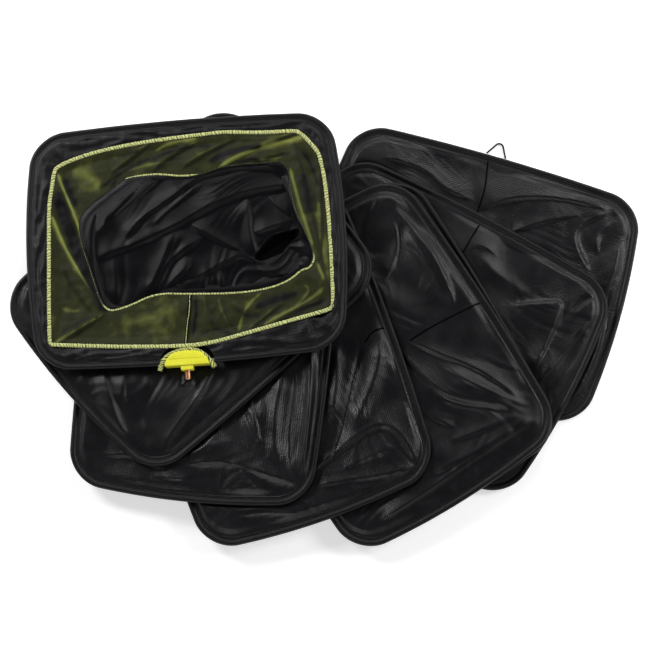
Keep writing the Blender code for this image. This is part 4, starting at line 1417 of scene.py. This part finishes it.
blockHalf, thickHalf = blockSizes["length"] / 2, blockSizes["thickness"] / 2
blockOutline = halfRound(blockHalf, blockSizes["depth"], -blockSizes["flatFromWire"], 61)
blockShape = roundEdges(plateShape(blockOutline, thickHalf), blockSizes["edge"], 5, radians(40))
bossHalf = blockSizes["bossWidth"] / 2
bossStart = -blockSizes["flatFromWire"] - blockSizes["bossHeight"]
bossEnd = -blockSizes["flatFromWire"] + blockSizes["bossRoot"]
bossOutline = [(bossHalf, bossStart), (bossHalf, bossEnd), (-bossHalf, bossEnd), (-bossHalf, bossStart)]
bossShape = roundEdges(plateShape(bossOutline, blockSizes["bossThickness"] / 2), blockSizes["bossEdge"], 4)
padOutline = halfRound(blockHalf - blockSizes["padInset"], blockSizes["depth"] - blockSizes["padDrop"],
                       blockSizes["padStart"], 49)
padShape = plateShape(padOutline, thickHalf + blockSizes["padRise"])
padShape = roundEdges(padShape, blockSizes["padEdge"], 3, radians(40))
boreShape = bmesh.new()
bmesh.ops.create_cone(boreShape, cap_ends=True, segments=32, radius1=blockSizes["boreRadius"],
                      radius2=blockSizes["boreRadius"], depth=blockSizes["boreLength"],
                      matrix=Matrix.Rotation(pi / 2, 4, "Y"))
blockMesh = meshFrom(blockShape, "block")
for shape, operation in ((bossShape, "UNION"), (padShape, "UNION"), (boreShape, "DIFFERENCE")):
    blockMesh = booleanResult("bank_stick_block", blockMesh, meshFrom(shape, "cutter"), operation)
blockMesh.transform(blockMatrix())
blockMesh.set_sharp_from_angle(angle=radians(35))
blockPiece = addPiece("bank_stick_block", blockMesh, limePlastic, "block")
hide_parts("block_body")

studSizes = {
    "radius": 0.00475, "rootRadius": 0.004, "pitch": 0.00127, "reach": 0.014, "steps": 28, "chamfer": 0.001,
    "trim": 0.0012, "profile": ((0.0, 0.0), (0.0, 0.18), (1.0, 0.45), (1.0, 0.6), (0.0, 0.87), (0.0, 1.0)),
}


def studShape():
    # A helical thread by spin: one V of the profile is turned and moved along the stud
    values = studSizes
    pitch, trim, root = values["pitch"], values["trim"], values["rootRadius"]
    shape = bmesh.new()
    turns = int(values["reach"] / pitch) + 2
    verts = [shape.verts.new((values["radius"] if crest else root, 0.0, share * pitch))
             for crest, share in values["profile"]]
    edges = [shape.edges.new(pair) for pair in zip(verts, verts[1:])]
    bmesh.ops.spin(shape, geom=verts + edges, cent=(0, 0, 0), axis=(0, 0, 1), angle=2 * pi * turns,
                   dvec=(0, 0, pitch / values["steps"]), steps=values["steps"] * turns, use_merge=False)
    bmesh.ops.remove_doubles(shape, verts=shape.verts, dist=0.00001)
    for height, up in ((trim, -1), (values["reach"] + trim, 1)):
        cut = bmesh.ops.bisect_plane(shape, geom=shape.verts[:] + shape.edges[:] + shape.faces[:],
                                     plane_co=(0, 0, height), plane_no=(0, 0, up), clear_outer=True)
        rim = [item for item in cut["geom_cut"] if isinstance(item, bmesh.types.BMEdge)]
        bmesh.ops.holes_fill(shape, edges=rim, sides=0)
    bmesh.ops.translate(shape, vec=(0, 0, -trim), verts=shape.verts)
    for vert in shape.verts:  # the chamfer at the tip
        over = vert.co.z - (values["reach"] - values["chamfer"])
        away = Vector((vert.co.x, vert.co.y))
        if over > 0 and away.length > values["radius"] - over:
            vert.co.x, vert.co.y = away.normalized() * (values["radius"] - over)
    bmesh.ops.recalc_face_normals(shape, faces=shape.faces)
    return shape


stud = studShape()
stud.transform(blockMatrix() @ Matrix.Translation((0.0, bossStart, 0.0)) @ Matrix.Rotation(pi / 2, 4, "X"))
studMesh = meshFrom(stud, "bank_stick_stud")
studMesh.set_sharp_from_angle(angle=radians(40))
studPiece = addPiece("bank_stick_stud", studMesh, copperyBrass, "block")
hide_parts("threaded_stud")
print("block and stud made")

# Floor, sky and lamps

stageLook = {
    "floorColour": (0.8, 0.8, 0.8), "floorSize": 8.0, "floorLift": 0.5, "floorFades": (0.9, 2.6),
    "skyLight": 0.1, "skyFades": (0.25, 0.55),
}
lamps = {  # place, power and size
    "keyLamp": ((-1.9, 1.4, 1.6), 50.0, 0.8),
    "fillLamp": ((2.1, 0.6, 1.6), 34.0, 0.9),
    "frontLamp": ((-0.4, -2.4, 1.7), 20.0, 1.1),
    "rearLamp": ((0.6, 2.3, 1.7), 28.0, 0.9),
}


def cameraMask(tree):
    seen = tree.nodes.new("ShaderNodeLightPath").outputs
    direct = addMath(tree, "MAXIMUM", seen["Is Camera Ray"], seen["Is Glossy Ray"])
    return addMath(tree, "MAXIMUM", direct, seen["Is Transmission Ray"])


floorShape = bmesh.new()
bmesh.ops.create_grid(floorShape, x_segments=1, y_segments=1, size=stageLook["floorSize"])
floor = bpy.data.objects.new("floor", meshFrom(floorShape, "floor"))
scene.collection.objects.link(floor)
floorMaterial = bpy.data.materials.new("pale floor")
floorMaterial.use_nodes = True
tree = floorMaterial.node_tree
tree.nodes.clear()
spot = addNode(tree, "ShaderNodeTexCoord").outputs["Object"]
away = addNode(tree, "ShaderNodeVectorMath", {"operation": "LENGTH"}, i0=spot).outputs["Value"]
lift = addRange(tree, away, *stageLook["floorFades"], stageLook["floorLift"], 1.0)  # brighter past the lamps
matt = addNode(tree, "ShaderNodeBsdfDiffuse", Color=stageLook["floorColour"])
glow = addNode(tree, "ShaderNodeEmission", Color=(1, 1, 1), Strength=addScaled(tree, cameraMask(tree), lift))
both = addNode(tree, "ShaderNodeAddShader", i0=matt.outputs[0], i1=glow.outputs[0])
addNode(tree, "ShaderNodeOutputMaterial", Surface=both.outputs[0])
floor.data.materials.append(floorMaterial)

world = bpy.data.worlds.new("studio")
scene.world = world
world.use_nodes = True
tree = world.node_tree
spot = addNode(tree, "ShaderNodeTexCoord").outputs["Generated"]
upward = addNode(tree, "ShaderNodeSeparateXYZ", i0=spot).outputs[2]
backdrop = addRange(tree, upward, *stageLook["skyFades"], 1.0, 0.0)  # white all round, a darker ceiling
mask = addScaled(tree, cameraMask(tree), backdrop)
light = addScaled(tree, mask, 1.0 - stageLook["skyLight"], stageLook["skyLight"])
setInputs(tree, tree.nodes["Background"], {"Color": (1, 1, 1), "Strength": light})

for name, (spot, power, size) in lamps.items():
    lamp = bpy.data.objects.new(name, bpy.data.lights.new(name, "AREA"))
    lamp.data.energy = power
    lamp.data.size = size
    lamp.location = spot
    lamp.rotation_euler = (-Vector(spot)).to_track_quat("-Z", "Y").to_euler()
    scene.collection.objects.link(lamp)
print("stage lit")
